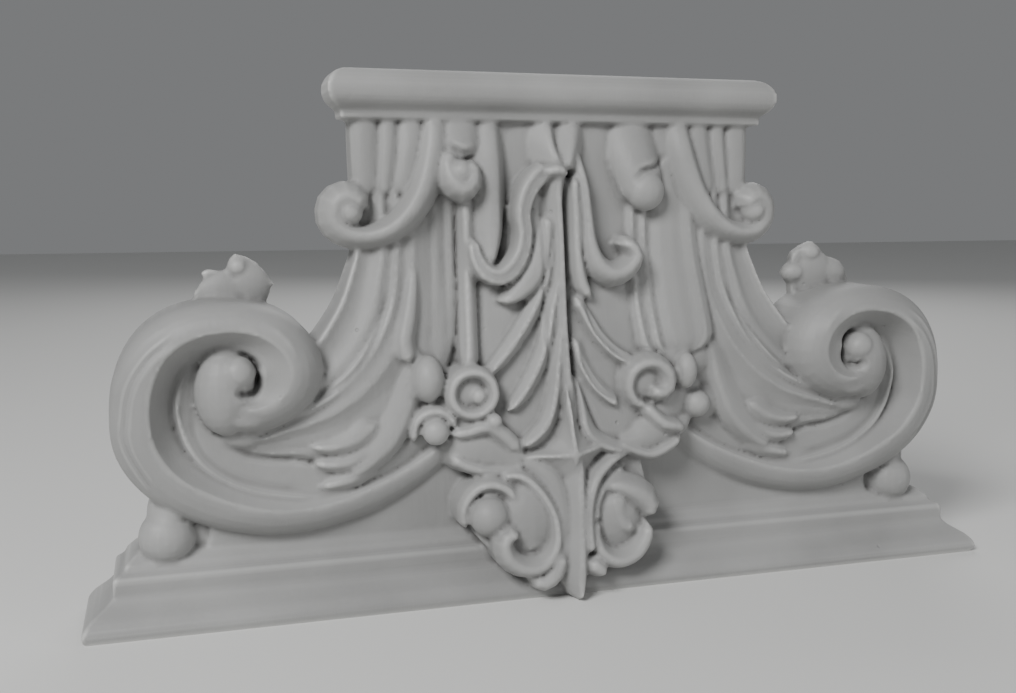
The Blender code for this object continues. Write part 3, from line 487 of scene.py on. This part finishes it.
# %% Buds, rings and turned tips
def clusters(bm):
    """Buds, rings and turned leaf tips either side of the stem's foot."""
    ball(bm, -62.5, 93, 27, 7, tall=9.8, deep=9.5)
    ball(bm, -60, 71.3, 31.5, 5.6)
    member(bm, [(-66, 84, 26.5, 9), (-52, 78, 31, 10), (-38, 71, 35, 9)], rise=5)
    member(bm, [(65, 86, 25.5, 8), (52, 80, 30.5, 10), (38, 73, 35, 10)], rise=5)
    member(bm, [(-68.6, 67, 31, 2.4), (-68, 75, 32, 2.4), (-62, 79.6, 33, 2.4), (-55, 78.4, 34.2, 2.4),
                (-51.6, 72.5, 35, 2.4)], rise=3.4)
    dish = [(-44.8 + 9 * math.cos(turn), 87 + 9 * math.sin(turn), 37 + math.cos(turn), 2.6)
            for turn in np.radians(np.arange(0, 391, 30))]
    member(bm, dish, rise=4, blunt=(0.01, 0.01))
    ball(bm, -44.8, 87, 28, 9.5, deep=5.4)
    ball(bm, -42, 85.6, 33, 3.5)
    member(bm, [(-57, 64, 30, 8), (-48, 63, 33.5, 10), (-38, 62.5, 35.5, 10.5), (-29, 60, 37, 8),
                (-22, 57.5, 38, 4)], rise=4.5, fullness=2.6)
    member(bm, [(-53.5, 70, 35, 2.4), (-46, 71, 36.6, 2.6), (-39, 73, 38, 3), (-32, 69, 39, 3.4),
                (-25.5, 62, 39, 3.4)], rise=2.8)
    ball(bm, -36.2, 75, 35, 3.6, deep=4)
    member(bm, [(-54, 60.5, 34, 3), (-47.5, 56.6, 35.5, 3.2), (-38.5, 54, 37, 3.2), (-29, 54.5, 38, 3),
                (-22.5, 57, 38.5, 2.6)], rise=4)
    coil = [(34, 77, 36, 2.6), (27.6, 80, 36.4, 3.4), (24.6, 86, 36.6, 3.8), (26, 92.6, 37.2, 4),
            (31, 96.4, 38, 4), (37.4, 96.2, 38.6, 4.2), (42, 91.8, 39.2, 4.6), (42, 86, 39.6, 4.8),
            (37.6, 83.6, 39.6, 4.4), (34.4, 86.4, 39.2, 3.6)]
    member(bm, coil, rise=6.5)
    ball(bm, 52.4, 92, 30.5, 5.2, tall=8.2, deep=7)
    ball(bm, 50, 97, 24, 9, deep=6)
    ball(bm, 60, 97, 22.5, 9, deep=6)
    ball(bm, 65.5, 77, 22, 9, deep=7)
    ball(bm, 33, 88, 30, 8, deep=5)
    ball(bm, 59, 76.6, 28, 6.4, deep=7.5)
    member(bm, [(57, 73, 29, 5), (50, 68, 33, 6), (43, 67, 36, 7.5), (35, 65, 37.5, 8.5),
                (27, 62.5, 38.5, 6), (18, 61.5, 39, 4)], rise=5, fullness=2.4)
    member(bm, [(31, 79, 36, 3), (35, 74.5, 38.5, 3.2), (40, 70, 40, 3.4), (46.5, 68.4, 38.8, 3),
                (51, 66.6, 36.5, 2)], rise=4)
    member(bm, [(50, 63.6, 35.5, 2.4), (44, 60.2, 38, 3), (34.5, 57, 39, 3.2), (26, 59.5, 39.6, 3),
                (17, 63, 40, 2.6)], rise=4)
    star = [(-24, 59.4), (-14.5, 62.4), (-9, 67), (-6.4, 74), (-4.6, 88), (-1.6, 75), (1.6, 68.4),
            (7, 64.8), (17.5, 64.4), (8, 58), (4.4, 52), (1.4, 45), (-3.4, 34), (-8.6, 45), (-11.6, 52.6),
            (-16, 56.8)]
    levels = [(-BURY, 1.0), (37.5, 1.0), (39.4, 0.84), (45.4, 0.08)]
    sweep(bm, [[place(-3 + (x + 3) * share, 60.6 + (z - 60.6) * share, proud) for x, z in star]
               for proud, share in levels])
    member(bm, [(-25, 58.6, 37.4, 3.4), (-17, 54.6, 40.6, 5), (-11.5, 47, 43.6, 5.2), (-9, 38, 46.4, 4.4),
                (-8.8, 28, 48.8, 3.6), (-9.4, 18, 50.6, 3)], rise=3)


clusters(carving)
print("clusters:", len(carving.faces), "faces so far")

# %% [markdown]
# ## Flower over the abacus
#
# The flower hangs in front of the abacus on a solid backing, with a ball and a curl on the left and
# a folded petal on the right, and ends in a pointed tip at the underside.

# %% Flower over the abacus
def flower(bm):
    """The small flower hanging over the front of the abacus."""
    backing = [(-45, 42), (-32, 51), (-12, 53), (12, 53), (26, 46), (33, 38), (31, 24), (22, 15),
               (8, 8), (-4, 2), (-18, 6), (-32, 13), (-44, 27)]
    slab(bm, backing, -BURY, 39)
    slab(bm, [(-36, 44), (-33, 62), (28, 64), (33, 46)], -BURY, 34)
    ball(bm, -22, 32, 36, 15.5, tall=18, deep=11.2)
    ball(bm, 16, 30, 36, 14, tall=16, deep=10.8)
    ball(bm, -39.3, 36, 39.5, 8.5)
    member(bm, [(-48.6, 30.5, 38.5, 2.4), (-49.6, 39.5, 39.5, 2.6), (-45.2, 46.8, 40.5, 2.8),
                (-38, 49.2, 41.8, 2.8), (-31, 46, 43, 2.8), (-27.6, 38.5, 44, 2.6),
                (-28.4, 33, 44.4, 2.2)], rise=4)
    member(bm, [(-22, 48, 41, 7), (-20, 38, 43.5, 8), (-20.5, 28, 46, 8), (-24, 22, 47.5, 7)], rise=3)
    rim = [(-35, 51.6, 39, 2.6), (-26, 52, 42, 3), (-18.4, 45.4, 45.5, 3.1), (-13.2, 35.5, 48.5, 3.1),
           (-12.6, 25.8, 51, 3.3), (-15.8, 18.4, 52.4, 3.8), (-21.6, 15.2, 53, 4.3),
           (-28.6, 16, 53, 4.6), (-34, 20.4, 52.5, 4.7), (-35.4, 26.4, 51.8, 4.4),
           (-32.2, 29.8, 51, 3.8), (-29.4, 27.4, 50.4, 3)]
    member(bm, rim, rise=6)
    member(bm, [(-11, 21, 53, 4), (-13.5, 12.6, 53.6, 4.4), (-18.6, 8.6, 53, 4.2), (-24.5, 10.6, 51, 2.6)],
           rise=5)
    member(bm, [(25, 60, 38, 2.6), (15, 56, 41.5, 3), (6.4, 49, 45.5, 3.2), (1.8, 38.4, 49.5, 3.2),
                (1, 27.5, 52.5, 3.2), (1.5, 20, 53.8, 3.4)], rise=5)
    member(bm, [(22, 52.5, 38, 2.6), (12.4, 47, 42.5, 2.8), (6.6, 39.6, 46, 2.8), (5, 31, 49, 2.6)],
           rise=5)
    member(bm, [(9.5, 45, 42.5, 4), (17.5, 45, 45.6, 5.6), (26, 41.4, 47.6, 7), (30.6, 36.4, 48.2, 6.4),
                (28.6, 31, 47.4, 4.6)], rise=8)
    member(bm, [(18, 43, 45.6, 5.6), (15.6, 35.6, 47, 6), (18, 29.4, 47.8, 5.4), (24, 27.4, 47.6, 4)],
           rise=4.5)
    bowl = [(5.6, 33.5, 48, 2.8), (4.8, 25, 50.8, 3.4), (8.2, 17.8, 52.3, 4), (15.4, 14.8, 52.3, 4.3),
            (23.4, 17.2, 51.2, 4.6), (28.4, 23.6, 49.6, 4.2), (29.4, 29.6, 48, 3.4)]
    member(bm, bowl, rise=6)
    member(bm, [(-0.5, 16.6, 54.2, 4), (5, 13, 54.2, 4.2), (8.6, 9.8, 53.2, 3.2)], rise=5)


flower(carving)
print("flower:", len(carving.faces), "faces so far")

# %% [markdown]
# ## Corner balls and leaf sprays
#
# A ball with a thick neck fills the corner under each scroll, and a small leaf spray stands on top
# of it. The sprays differ from side to side, as the carver left them.

# %% Corner balls and leaf sprays
def corner_ball(bm, side):
    """The ball, its thick neck and the board behind it, between the abacus and the big scroll."""
    middle = 166.5 - side * 1.1
    ball(bm, middle, 33.3, 20.4, 11.2, side=side)
    member(bm, [(middle, 32, 29, 10), (middle - 1.8, 42, 28, 9.2), (middle - 3, 52, 26, 9)], side=side,
           rise=9, root=8)
    slab(bm, [(150, 20), (173, 20), (173, 50), (150, 58)], -BURY, 21.5, side)


def sprigs(bm):
    """The two little leaf sprays standing on the scrolls."""
    left = [(-155, 118), (-153.5, 129), (-151, 132), (-149, 134), (-150.5, 137), (-148, 138.5),
            (-143, 137.5), (-139.5, 138.5), (-139.5, 142), (-137, 144.5), (-132, 143),
            (-128, 140.5), (-125, 136), (-121.5, 132), (-125.5, 128.5), (-126, 118)]
    right = [(119, 118), (118.5, 126), (114, 132), (118, 135), (119, 141), (123.5, 144),
             (129, 146.5), (133, 143.5), (136, 139.5), (141, 138.5), (144.5, 137), (146, 133.5),
             (149, 129), (147, 124), (148, 116)]
    for outline in (left, right):
        slab(bm, outline, 1, 6.5)
    lumps = [(-141, 127, 12, 11), (-132, 131, 9, 10), (-136, 139, 4.4, 4.4),
             (130, 130, 11, 13), (120, 132, 6, 5), (128, 141, 5.5, 5), (140, 131, 8, 7)]
    for x, z, radius, tall in lumps:
        ball(bm, x, z, 4.5, radius, tall=tall, deep=5)


for side in (-1, 1):
    corner_ball(carving, side)
sprigs(carving)
print("corners:", len(carving.faces), "faces so far")

# %% [markdown]
# ## Abacus, half-round and the board between
#
# The mouldings are the only straight-cut parts. Each is a profile taken round the left end, the
# front and the right end, as a moulder would run it round a board: a rounded foot, a hollow rise,
# a step and a small cavetto for the abacus, and a half-round over a thin fillet for the neck.

# %% Mouldings
def returned_moulding(bm, profile, half_width):
    """Sweep a moulding profile of (inset, z, proud) round the left end, the front and the right end."""
    rings = []
    for inset, z, proud in profile:
        end = half_width - inset
        rings.append([place(-end, z, -BURY), place(-end, z, proud), place(end, z, proud),
                      place(end, z, -BURY)])
    sweep(bm, rings)


flare = [(-158, 18), (-154, 24), (-151, 32), (-150, 58), (150, 58), (151, 32), (154, 24), (158, 18)]
slab(carving, flare, -BURY, PLATE_PROUD)

abacus = [(1.2, -3.0), (1.2, 0.0), (0.3, 1.2), (0.0, 3.0), (0.4, 4.6), (1.4, 6.0), (3.4, 8.0),
          (6.4, 9.8), (9.2, 11.6), (10.8, 13.2), (11.4, 13.4), (11.6, 20.0), (12.2, 21.0),
          (15.4, 22.4), (16.2, 24.6), (18.0, 26.0), (20.5, 28.0)]
returned_moulding(carving, [(inset, z, BASE_DEPTH - inset) for inset, z in abacus], WIDTH / 2)

centre = HEIGHT - TORUS_RADIUS
foot = centre - TORUS_RADIUS - 4.2     # of the fillet below the half-round
half_round = [(TORUS_RADIUS + 3.6, foot), (TORUS_RADIUS - 2.4, foot + 0.8),
              (TORUS_RADIUS - 2.8, foot + 3.6), (TORUS_RADIUS + 0.6, foot + 4.4)]
for turn in np.linspace(-62, 90, 13):
    angle = math.radians(turn)
    half_round.append((TORUS_RADIUS * (1 - math.cos(angle)), centre + TORUS_RADIUS * math.sin(angle)))
half_round.append((TORUS_RADIUS, HEIGHT + 3))
returned_moulding(carving, [(inset, z, TORUS_PROUD - inset) for inset, z in half_round],
                  TORUS_WIDTH / 2)
bmesh.ops.recalc_face_normals(carving, faces=carving.faces)
print("mouldings added:", len(carving.faces), "faces so far")

# %% [markdown]
# ## Running the cuts together
#
# On the real block nothing is glued on: every rib grows out of the one behind it. A voxel remesh
# turns all the overlapping bodies into one skin, and a little smoothing rounds the inside corners
# the way a gouge and several coats of paint do.

# %% One skin
SKIN_GRAIN = 0.95    # the size of one cell of the skin
SKIN_EASING = 3                             # how many times the skin is smoothed

capital = bpy.data.objects.new("carved_capital", bpy.data.meshes.new("carved_capital"))
carving.to_mesh(capital.data)
carving.free()
bpy.context.scene.collection.objects.link(capital)


def settle(item):
    """Work the modifiers of an object into its mesh."""
    graph = bpy.context.evaluated_depsgraph_get()
    worked = bpy.data.meshes.new_from_object(item.evaluated_get(graph))
    item.modifiers.clear()
    old = item.data
    item.data = worked
    bpy.data.meshes.remove(old)


skin = capital.modifiers.new("skin", "REMESH")
skin.mode = "VOXEL"
skin.voxel_size = SKIN_GRAIN * MM
ease = capital.modifiers.new("ease", "SMOOTH")
ease.factor = 0.5
ease.iterations = SKIN_EASING
settle(capital)
print("one skin of", len(capital.data.polygons), "faces")

# %% [markdown]
# ## Fine gouge lines
#
# The veins and fine ridges are single passes of a small gouge. Each is a short run of points on the
# pattern, how deep it is cut, or how far it stands up where that is below nought, and its half
# width. The runs on the scrolls are given for the right side and cut on both.

# %% Runs of the gouge
LINE_STEP = 2.0
both_sides = []
for inset, depth in [(2.5, 0.45), (4.6, -0.35), (6.6, 0.45), (8.8, -0.3)]:
    rim_line = [(174 - inset * 0.6, 46 + inset * 0.8), (187.5 - inset, 72), (187.5 - inset, 85),
                (184 - inset * 0.9, 99 - inset * 0.3), (176 - inset * 0.7, 111.5 - inset * 0.7),
                (164 - inset * 0.5, 121 - inset * 0.9)]
    both_sides.append((depth, 0.9, rim_line))
both_sides += [
    (-0.9, 0.9, [(107, 46.6), (120, 48), (135, 51.4), (150, 59.6), (158, 70), (161.8, 84), (160.5, 94)]),
    (0.7, 1.6, [(112, 50), (127, 52), (141, 57), (151, 65), (156, 76), (157, 86)]),
    (1.6, 1.6, [(142, 70), (137, 66), (130, 64), (123, 63), (115, 63), (111, 64)]),
    (3.4, 1.2, [(139, 107.6), (135, 105.4), (131.8, 102), (131, 97), (132.4, 92.6), (134.6, 89.6)]),
    (3.6, 1.5, [(132.4, 93.4), (134.6, 91.8), (137, 91.4), (140.4, 93.4)]),
    (1.3, 1.4, [(77, 129), (79, 121), (83, 111), (89, 101), (96, 94), (104, 89), (111, 86)]),
    (-0.7, 1.6, [(130, 119), (124, 116), (119, 111), (116, 104)])]
one_side = [
    (2.2, 1.3, [(-46, 166), (-46.3, 140), (-46.8, 118), (-47.5, 98)]),
    (2.4, 1.3, [(-1.2, 172), (-0.4, 120), (0.4, 90), (1.4, 68)]),
    (0.9, 1.2, [(-11.6, 170), (-11.6, 120), (-11, 95)]),
    (1.0, 1.4, [(30, 140), (30.4, 120), (32, 102)]),
    (0.8, 1.6, [(37, 152), (37.4, 125), (39, 103)]),
    (1.5, 1.1, [(7, 122), (9, 115), (13, 108), (20, 101), (27, 97)]),
    (1.3, 1.1, [(2, 103), (6, 94), (11, 86), (18, 81)]),
    (1.3, 1.1, [(0, 96), (3, 88), (7, 77), (11, 68), (14, 65)]),
    (2.2, 1.5, [(49, 187), (45, 182), (40, 179.6), (35, 178.4), (31, 174)]),
    (1.6, 1.4, [(-39, 187), (-43, 185.4), (-47, 186.6), (-51, 190)]),
    (2.4, 1.2, [(-26, 165), (-27, 152), (-30, 142), (-34, 139)]),
    (0.8, 1.8, [(-58, 168), (-58, 140), (-59, 118), (-61, 104)]),
    (0.8, 1.8, [(-52, 168), (-52, 140), (-52, 118), (-54, 104)])]
cuts = [(depth, width, smooth_rows([(x * side, z) for x, z in points], LINE_STEP))
        for lines, sides in ((both_sides, (-1, 1)), (one_side, (1,)))
        for depth, width, points in lines for side in sides]
print("gouge lines drawn:", len(cuts))

# %% [markdown]
# ## Cutting the gouge lines
#
# For each line, every point of the skin near it finds how far off it lies. It is then pushed back,
# deepest on the line, fading to nothing at its edges, and easing in and out at its two ends as the
# tool enters and leaves the timber. Only the surface that looks forward is moved, because a gouge
# reaches nothing else.

# %% Cutting the gouge lines
FACING_GAIN = 1.6      # how soon a surface that turns forward takes the full cut
ENTRY = 8.0            # the length over which a cut deepens from its end


def read(elements, name, width=3, kind=np.float64):
    """One property of all the points, edges or faces of a mesh, as rows of numbers."""
    values = np.empty(len(elements) * width, dtype=kind)
    elements.foreach_get(name, values)
    return values if width == 1 else values.reshape(-1, width)


def carve_lines(mesh, lines):
    """Push the forward-looking surface in along every line, and say how far each point went."""
    spots = read(mesh.vertices, "co")
    facing = np.clip(-read(mesh.vertex_normals, "vector")[:, 1] * FACING_GAIN, 0, 1)
    flat = spots[:, [0, 2]] / MM
    push = np.zeros(len(spots))
    for depth, width, run in lines:
        low = run.min(axis=0) - width * 2
        high = run.max(axis=0) + width * 2
        near = np.nonzero(((flat > low) & (flat < high)).all(axis=1) & (facing > 0))[0]
        if len(near) == 0:
            continue
        gap = np.full(len(near), np.inf)
        along = np.zeros(len(near))
        passed = 0.0
        for start, end in zip(run[:-1], run[1:]):
            step = end - start
            length = max(math.hypot(*step), 1e-6)
            share = np.clip(((flat[near] - start) @ step) / length ** 2, 0, 1)
            here = np.hypot(*(flat[near] - start - share[:, None] * step).T)
            along = np.where(here < gap, passed + share * length, along)
            gap = np.minimum(gap, here)
            passed += length
        ends = np.clip(np.minimum(along, passed - along) / min(ENTRY, passed / 3), 0, 1)
        push[near] += depth * np.exp(-(gap / width) ** 2) * facing[near] * ends
    spots[:, 1] += push * MM
    mesh.vertices.foreach_set("co", spots.ravel())
    mesh.update()
    return push


push = carve_lines(capital.data, cuts)
print("deepest cut", round(push.max(), 2), "mm, highest ridge", round(-push.min(), 2), "mm")

# %% [markdown]
# ## Sawing the back, underside and top flat
#
# The block was sawn before it was carved, so its back, its underside and its top are plain flat
# faces. A cutting plane takes off what stands past each, and the open edge is closed with one face.
# The carving is also held inside the block it was cut from, since nothing can stand past that.
# A decimate then joins the smallest triangles, so that the whole carving stays light enough to
# share, and edges steeper than a set angle stay sharp, so the sawn faces read flat.

# %% Saw cuts
MOST_TRIANGLES = 188000
SHARP_ANGLE = 55       # degrees

saw = bmesh.new()
saw.from_mesh(capital.data)
for spot, outward in [(place(0, 0, 0), Vector((0, 1, 0))), (place(0, 0, 0), Vector((0, 0, -1))),
                      (place(0, HEIGHT, 0), Vector((0, 0, 1)))]:
    everything = saw.verts[:] + saw.edges[:] + saw.faces[:]
    bmesh.ops.bisect_plane(saw, geom=everything, dist=1e-6, plane_co=spot, plane_no=outward,
                           clear_outer=True)
    open_edge = [edge for edge in saw.edges if edge.is_boundary]
    bmesh.ops.contextual_create(saw, geom=open_edge)
bmesh.ops.triangulate(saw, faces=[face for face in saw.faces if len(face.verts) > 4])
bmesh.ops.recalc_face_normals(saw, faces=saw.faces)
saw.to_mesh(capital.data)
saw.free()
inside = np.clip(read(capital.data.vertices, "co"), cad_box[0], cad_box[1])
capital.data.vertices.foreach_set("co", inside.ravel())
triangles = sum(len(face.vertices) - 2 for face in capital.data.polygons)
fewer = capital.modifiers.new("fewer", "DECIMATE")
fewer.ratio = min(1.0, MOST_TRIANGLES / triangles)
settle(capital)
for face in capital.data.polygons:
    face.use_smooth = True
capital.data.set_sharp_from_angle(angle=math.radians(SHARP_ANGLE))
kept = sum(len(face.vertices) - 2 for face in capital.data.polygons)
print("sawn:", triangles, "triangles, kept", kept)

# %% [markdown]
# ## Hollows and ridges
#
# The cuts are painted darker as painted shade and the ridges lighter as a painted highlight, so the
# paint has to know where those are. At each point of the skin, the slopes to its neighbours are set
# against the way the point faces: the sum is nought on a flat face, more in a hollow and less on a
# ridge. A few rounds of averaging spread it a little. It is kept on the corners of the faces and not
# on the points, so that it can be nought on the sawn faces right up to their edges.

# %% Hollows and ridges
HOLLOW_GAIN = 5
HOLLOW_SPREAD = 4      # rounds of averaging
SAWN_SQUARE = 0.999    # how squarely a sawn face looks back, down or up
SAWN_WITHIN = 0.05     # how near it lies to the underside or the top


def hollows(mesh, spread):
    """How deep in a hollow each point lies, from -1 on a ridge to 1 in a cut, spread a little."""
    count = len(mesh.vertices)
    spots = read(mesh.vertices, "co")
    facing = read(mesh.vertex_normals, "vector")
    one, two = read(mesh.edges, "vertices", 2, np.int32).T
    step = spots[two] - spots[one]
    step /= np.maximum(np.linalg.norm(step, axis=1)[:, None], 1e-9)
    met = np.maximum(np.bincount(one, minlength=count) + np.bincount(two, minlength=count), 1)
    depth = (np.bincount(one, (facing[one] * step).sum(axis=1), count)
             - np.bincount(two, (facing[two] * step).sum(axis=1), count)) / met
    for _ in range(spread):
        depth = 0.5 * depth + 0.5 * (np.bincount(one, depth[two], count)
                                     + np.bincount(two, depth[one], count)) / met
    return np.clip(depth * HOLLOW_GAIN, -1, 1)


def sawn_corners(mesh):
    """Which face corners lie on the sawn back, underside and top."""
    facing = read(mesh.polygons, "normal")
    height = read(mesh.polygons, "center")[:, 2] / MM
    back = facing[:, 1] > SAWN_SQUARE
    underside = (facing[:, 2] < -SAWN_SQUARE) & (height < SAWN_WITHIN)
    top = (facing[:, 2] > SAWN_SQUARE) & (height > HEIGHT - SAWN_WITHIN)
    return np.repeat(back | underside | top, read(mesh.polygons, "loop_total", 1, np.int32))


depth = hollows(capital.data, HOLLOW_SPREAD)
corners = read(capital.data.loops, "vertex_index", 1, np.int32)
at_corners = np.where(sawn_corners(capital.data), 0.0, depth[corners])
# This measure steers the painted shade in the cuts and the painted highlight on the ridges.
hollow = capital.data.attributes.new("hollow", "FLOAT", "CORNER")
hollow.data.foreach_set("value", at_corners)
print("points in cuts:", int((depth > 0.3).sum()), "on ridges:", int((depth < -0.3).sum()))

# %% [markdown]
# ## Flat stone-grey paint over timber
#
# Several thin coats of matt oil paint, brushed on. The colour barely changes: two close greys drift
# over broad patches, as brushed paint does. The cuts are painted a good deal deeper, as painted
# shade, and the ridges somewhat lighter, as a painted highlight. One function adds a node with its
# settings, its values and the links that feed it, so each line below reads as one step of the
# paint.

# %% Colour of the paint
GREYS = ("#878786", "#999998")
# painted shade: the darker grey laid into the cuts
PAINTED_SHADE_GREY = "#4c4b4a"
# painted highlight: the lighter grey laid on the ridges
PAINTED_HIGHLIGHT_GREY = "#bdbdbb"
PATCH = 60 * MM        # across a patch of one grey


def tone(code):
    """A colour from its hex code, as the light values a shader wants."""
    values = [int(code[i:i + 2], 16) / 255 for i in (1, 3, 5)]
    return tuple(v / 12.92 if v <= 0.04045 else ((v + 0.055) / 1.055) ** 2.4 for v in values) + (1,)


def add(tree, kind, inputs, **settings):
    """Put a node into a material, with its settings and a value or a link for each input."""
    node = tree.nodes.new(kind)
    for name, value in settings.items():
        setattr(node, name, value)
    for name, value in inputs.items():
        if isinstance(value, bpy.types.NodeSocket):
            tree.links.new(value, node.inputs[name])
        else:
            node.inputs[name].default_value = value
    return node


paint = bpy.data.materials.new("stone grey oil paint brushed on carved timber")
paint.use_nodes = True
tree = paint.node_tree
shader = tree.nodes["Principled BSDF"]
where = add(tree, "ShaderNodeTexCoord", {}).outputs["Object"]
depth_of = add(tree, "ShaderNodeAttribute", {}, attribute_name="hollow").outputs["Fac"]

patches = add(tree, "ShaderNodeTexNoise", {"Vector": where, "Scale": 1 / PATCH, "Detail": 3})
drift = add(tree, "ShaderNodeValToRGB", {"Fac": patches.outputs["Fac"]})
for stop, position, grey in zip(drift.color_ramp.elements, (0.3, 0.7), GREYS):
    stop.position = position
    stop.color = tone(grey)
# Painted shade: the colour darkens towards the dark grey in the cuts.
painted_shade = add(tree, "ShaderNodeMapRange",
             {"Value": depth_of, "From Min": 0.1, "From Max": 0.9, "To Max": 0.85})
in_cuts = add(tree, "ShaderNodeMix", {"Factor": painted_shade.outputs["Result"],
                                      "A": drift.outputs["Color"], "B": tone(PAINTED_SHADE_GREY)},
              data_type="RGBA")
# Painted highlight: the colour lightens towards the light grey on the ridges.
painted_highlight = add(tree, "ShaderNodeMapRange",
             {"Value": depth_of, "From Min": -0.15, "From Max": -0.8, "To Max": 0.75})
on_ridges = add(tree, "ShaderNodeMix", {"Factor": painted_highlight.outputs["Result"],
                                        "A": in_cuts.outputs["Result"], "B": tone(PAINTED_HIGHLIGHT_GREY)},
                data_type="RGBA")
tree.links.new(on_ridges.outputs["Result"], shader.inputs["Base Color"])
print("greys", *GREYS, "with", PAINTED_SHADE_GREY, "in the cuts and", PAINTED_HIGHLIGHT_GREY, "on the ridges")

# %% [markdown]
# ## The paint's surface
#
# The timber's grain runs up the block: fine lines that still read through the coats. On the real
# block they lie about 0.8 mm apart; here they are drawn twice as far apart, so that they show at
# this distance. Over it lie the brush's own ridges and a few small pits where the timber was open.
# The sheen is a dull satin, a little glossier on the rubbed ridges.

# %% Grain, brush and sheen
GRAIN_APART = 1.6 * MM
GRAIN_LONG = 40 * MM
BRISTLES = 4 * MM      # across a clump of bristle marks
PITS_APART = 22 * MM

along_grain = add(tree, "ShaderNodeMapping",
                  {"Vector": where, "Scale": (1 / GRAIN_APART, 1 / GRAIN_APART, 1 / GRAIN_LONG)})
grain = add(tree, "ShaderNodeTexNoise",
            {"Vector": along_grain.outputs["Vector"], "Scale": 1, "Detail": 2})
grain_bump = add(tree, "ShaderNodeBump",
                 {"Height": grain.outputs["Fac"], "Strength": 0.4, "Distance": 0.22 * MM})
brush = add(tree, "ShaderNodeTexNoise", {"Vector": where, "Scale": 1 / BRISTLES, "Detail": 4})
brush_bump = add(tree, "ShaderNodeBump",
                 {"Height": brush.outputs["Fac"], "Strength": 0.5, "Distance": 0.3 * MM,
                  "Normal": grain_bump.outputs["Normal"]})
pits = add(tree, "ShaderNodeTexVoronoi", {"Vector": where, "Scale": 1 / PITS_APART})
pit_edge = add(tree, "ShaderNodeMapRange",
               {"Value": pits.outputs["Distance"], "From Min": 0.02, "From Max": 0.045})
pit_bump = add(tree, "ShaderNodeBump",
               {"Height": pit_edge.outputs["Result"], "Strength": 0.8, "Distance": 0.4 * MM,
                "Normal": brush_bump.outputs["Normal"]})
sheen = add(tree, "ShaderNodeMapRange",
            {"Value": depth_of, "From Min": -1, "From Max": 1, "To Min": 0.42, "To Max": 0.7})
tree.links.new(pit_bump.outputs["Normal"], shader.inputs["Normal"])
tree.links.new(sheen.outputs["Result"], shader.inputs["Roughness"])
shader.inputs["Specular IOR Level"].default_value = 0.4
capital.data.materials.clear()
capital.data.materials.append(paint)
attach(capital, "root")
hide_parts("capital")
print("painted:", len(tree.nodes), "nodes")

# %% [markdown]
# ## Floor and light
#
# A plain pale floor, one broad soft lamp high on the left, as the photograph's shadows ask, a
# weaker one on the right and another behind for the sawn back. A pale sky fills the rest.

# %% Floor and light
FLOOR_HALF = 3.0       # metres

ground = bmesh.new()
bmesh.ops.create_grid(ground, x_segments=1, y_segments=1, size=FLOOR_HALF)
floor = bpy.data.objects.new("floor", bpy.data.meshes.new("floor"))
ground.to_mesh(floor.data)
ground.free()
bpy.context.scene.collection.objects.link(floor)
pale = bpy.data.materials.new("pale floor")
pale.use_nodes = True
matt = pale.node_tree.nodes["Principled BSDF"]
matt.inputs["Base Color"].default_value = tone("#d8d8d6")
matt.inputs["Roughness"].default_value = 0.8
floor.data.materials.append(pale)


def lamp(name, spot, target, size, power):
    """A square soft lamp turned to face a point."""
    data = bpy.data.lights.new(name, "AREA")
    data.size = size
    data.energy = power
    item = bpy.data.objects.new(name, data)
    bpy.context.scene.collection.objects.link(item)
    way = (Vector(spot) - Vector(target)).to_track_quat("Z", "Y")
    item.matrix_world = Matrix.LocRotScale(Vector(spot), way, None)


middle = (0, 0, 0.11)
lamp("key", (-0.9, -0.8, 1.0), middle, 0.5, 24)
lamp("fill", (1.1, -0.8, 0.3), middle, 0.9, 5)
lamp("back", (0.5, 1.2, 0.9), middle, 0.9, 6)
world = bpy.context.scene.world or bpy.data.worlds.new("studio")
bpy.context.scene.world = world
world.use_nodes = True
sky = world.node_tree.nodes["Background"]
sky.inputs["Color"].default_value = tone("#e4e6e8")
sky.inputs["Strength"].default_value = 0.25
print("lamps:", len(bpy.data.lights))

# %% [markdown]
# ## Camera
#
# The camera stands where the photograph was taken from: a little left of the middle and a little
# above it, turned to the right and looking slightly down. Its place, turn and lens were fitted to
# the corners of the abacus and the ends of the half-round moulding.

# %% Camera
yaw = math.radians(16.83)
pitch = math.radians(-7.70)
ahead = Vector((math.sin(yaw) * math.cos(pitch), math.cos(yaw) * math.cos(pitch), math.sin(pitch)))
right = Vector((math.cos(yaw), -math.sin(yaw), 0))
up = right.cross(ahead)
eye = Vector((-0.16368, -0.45487, 0.16861))
camera = bpy.data.objects.new("camera", bpy.data.cameras.new("camera"))
camera.data.lens = 39.98
camera.data.sensor_width = 36
bpy.context.scene.collection.objects.link(camera)
camera.matrix_world = Matrix(((right.x, up.x, -ahead.x, eye.x), (right.y, up.y, -ahead.y, eye.y),
                              (right.z, up.z, -ahead.z, eye.z), (0, 0, 0, 1)))
bpy.context.scene.camera = camera
print("camera", round(eye.length, 2), "m from the middle of the underside")
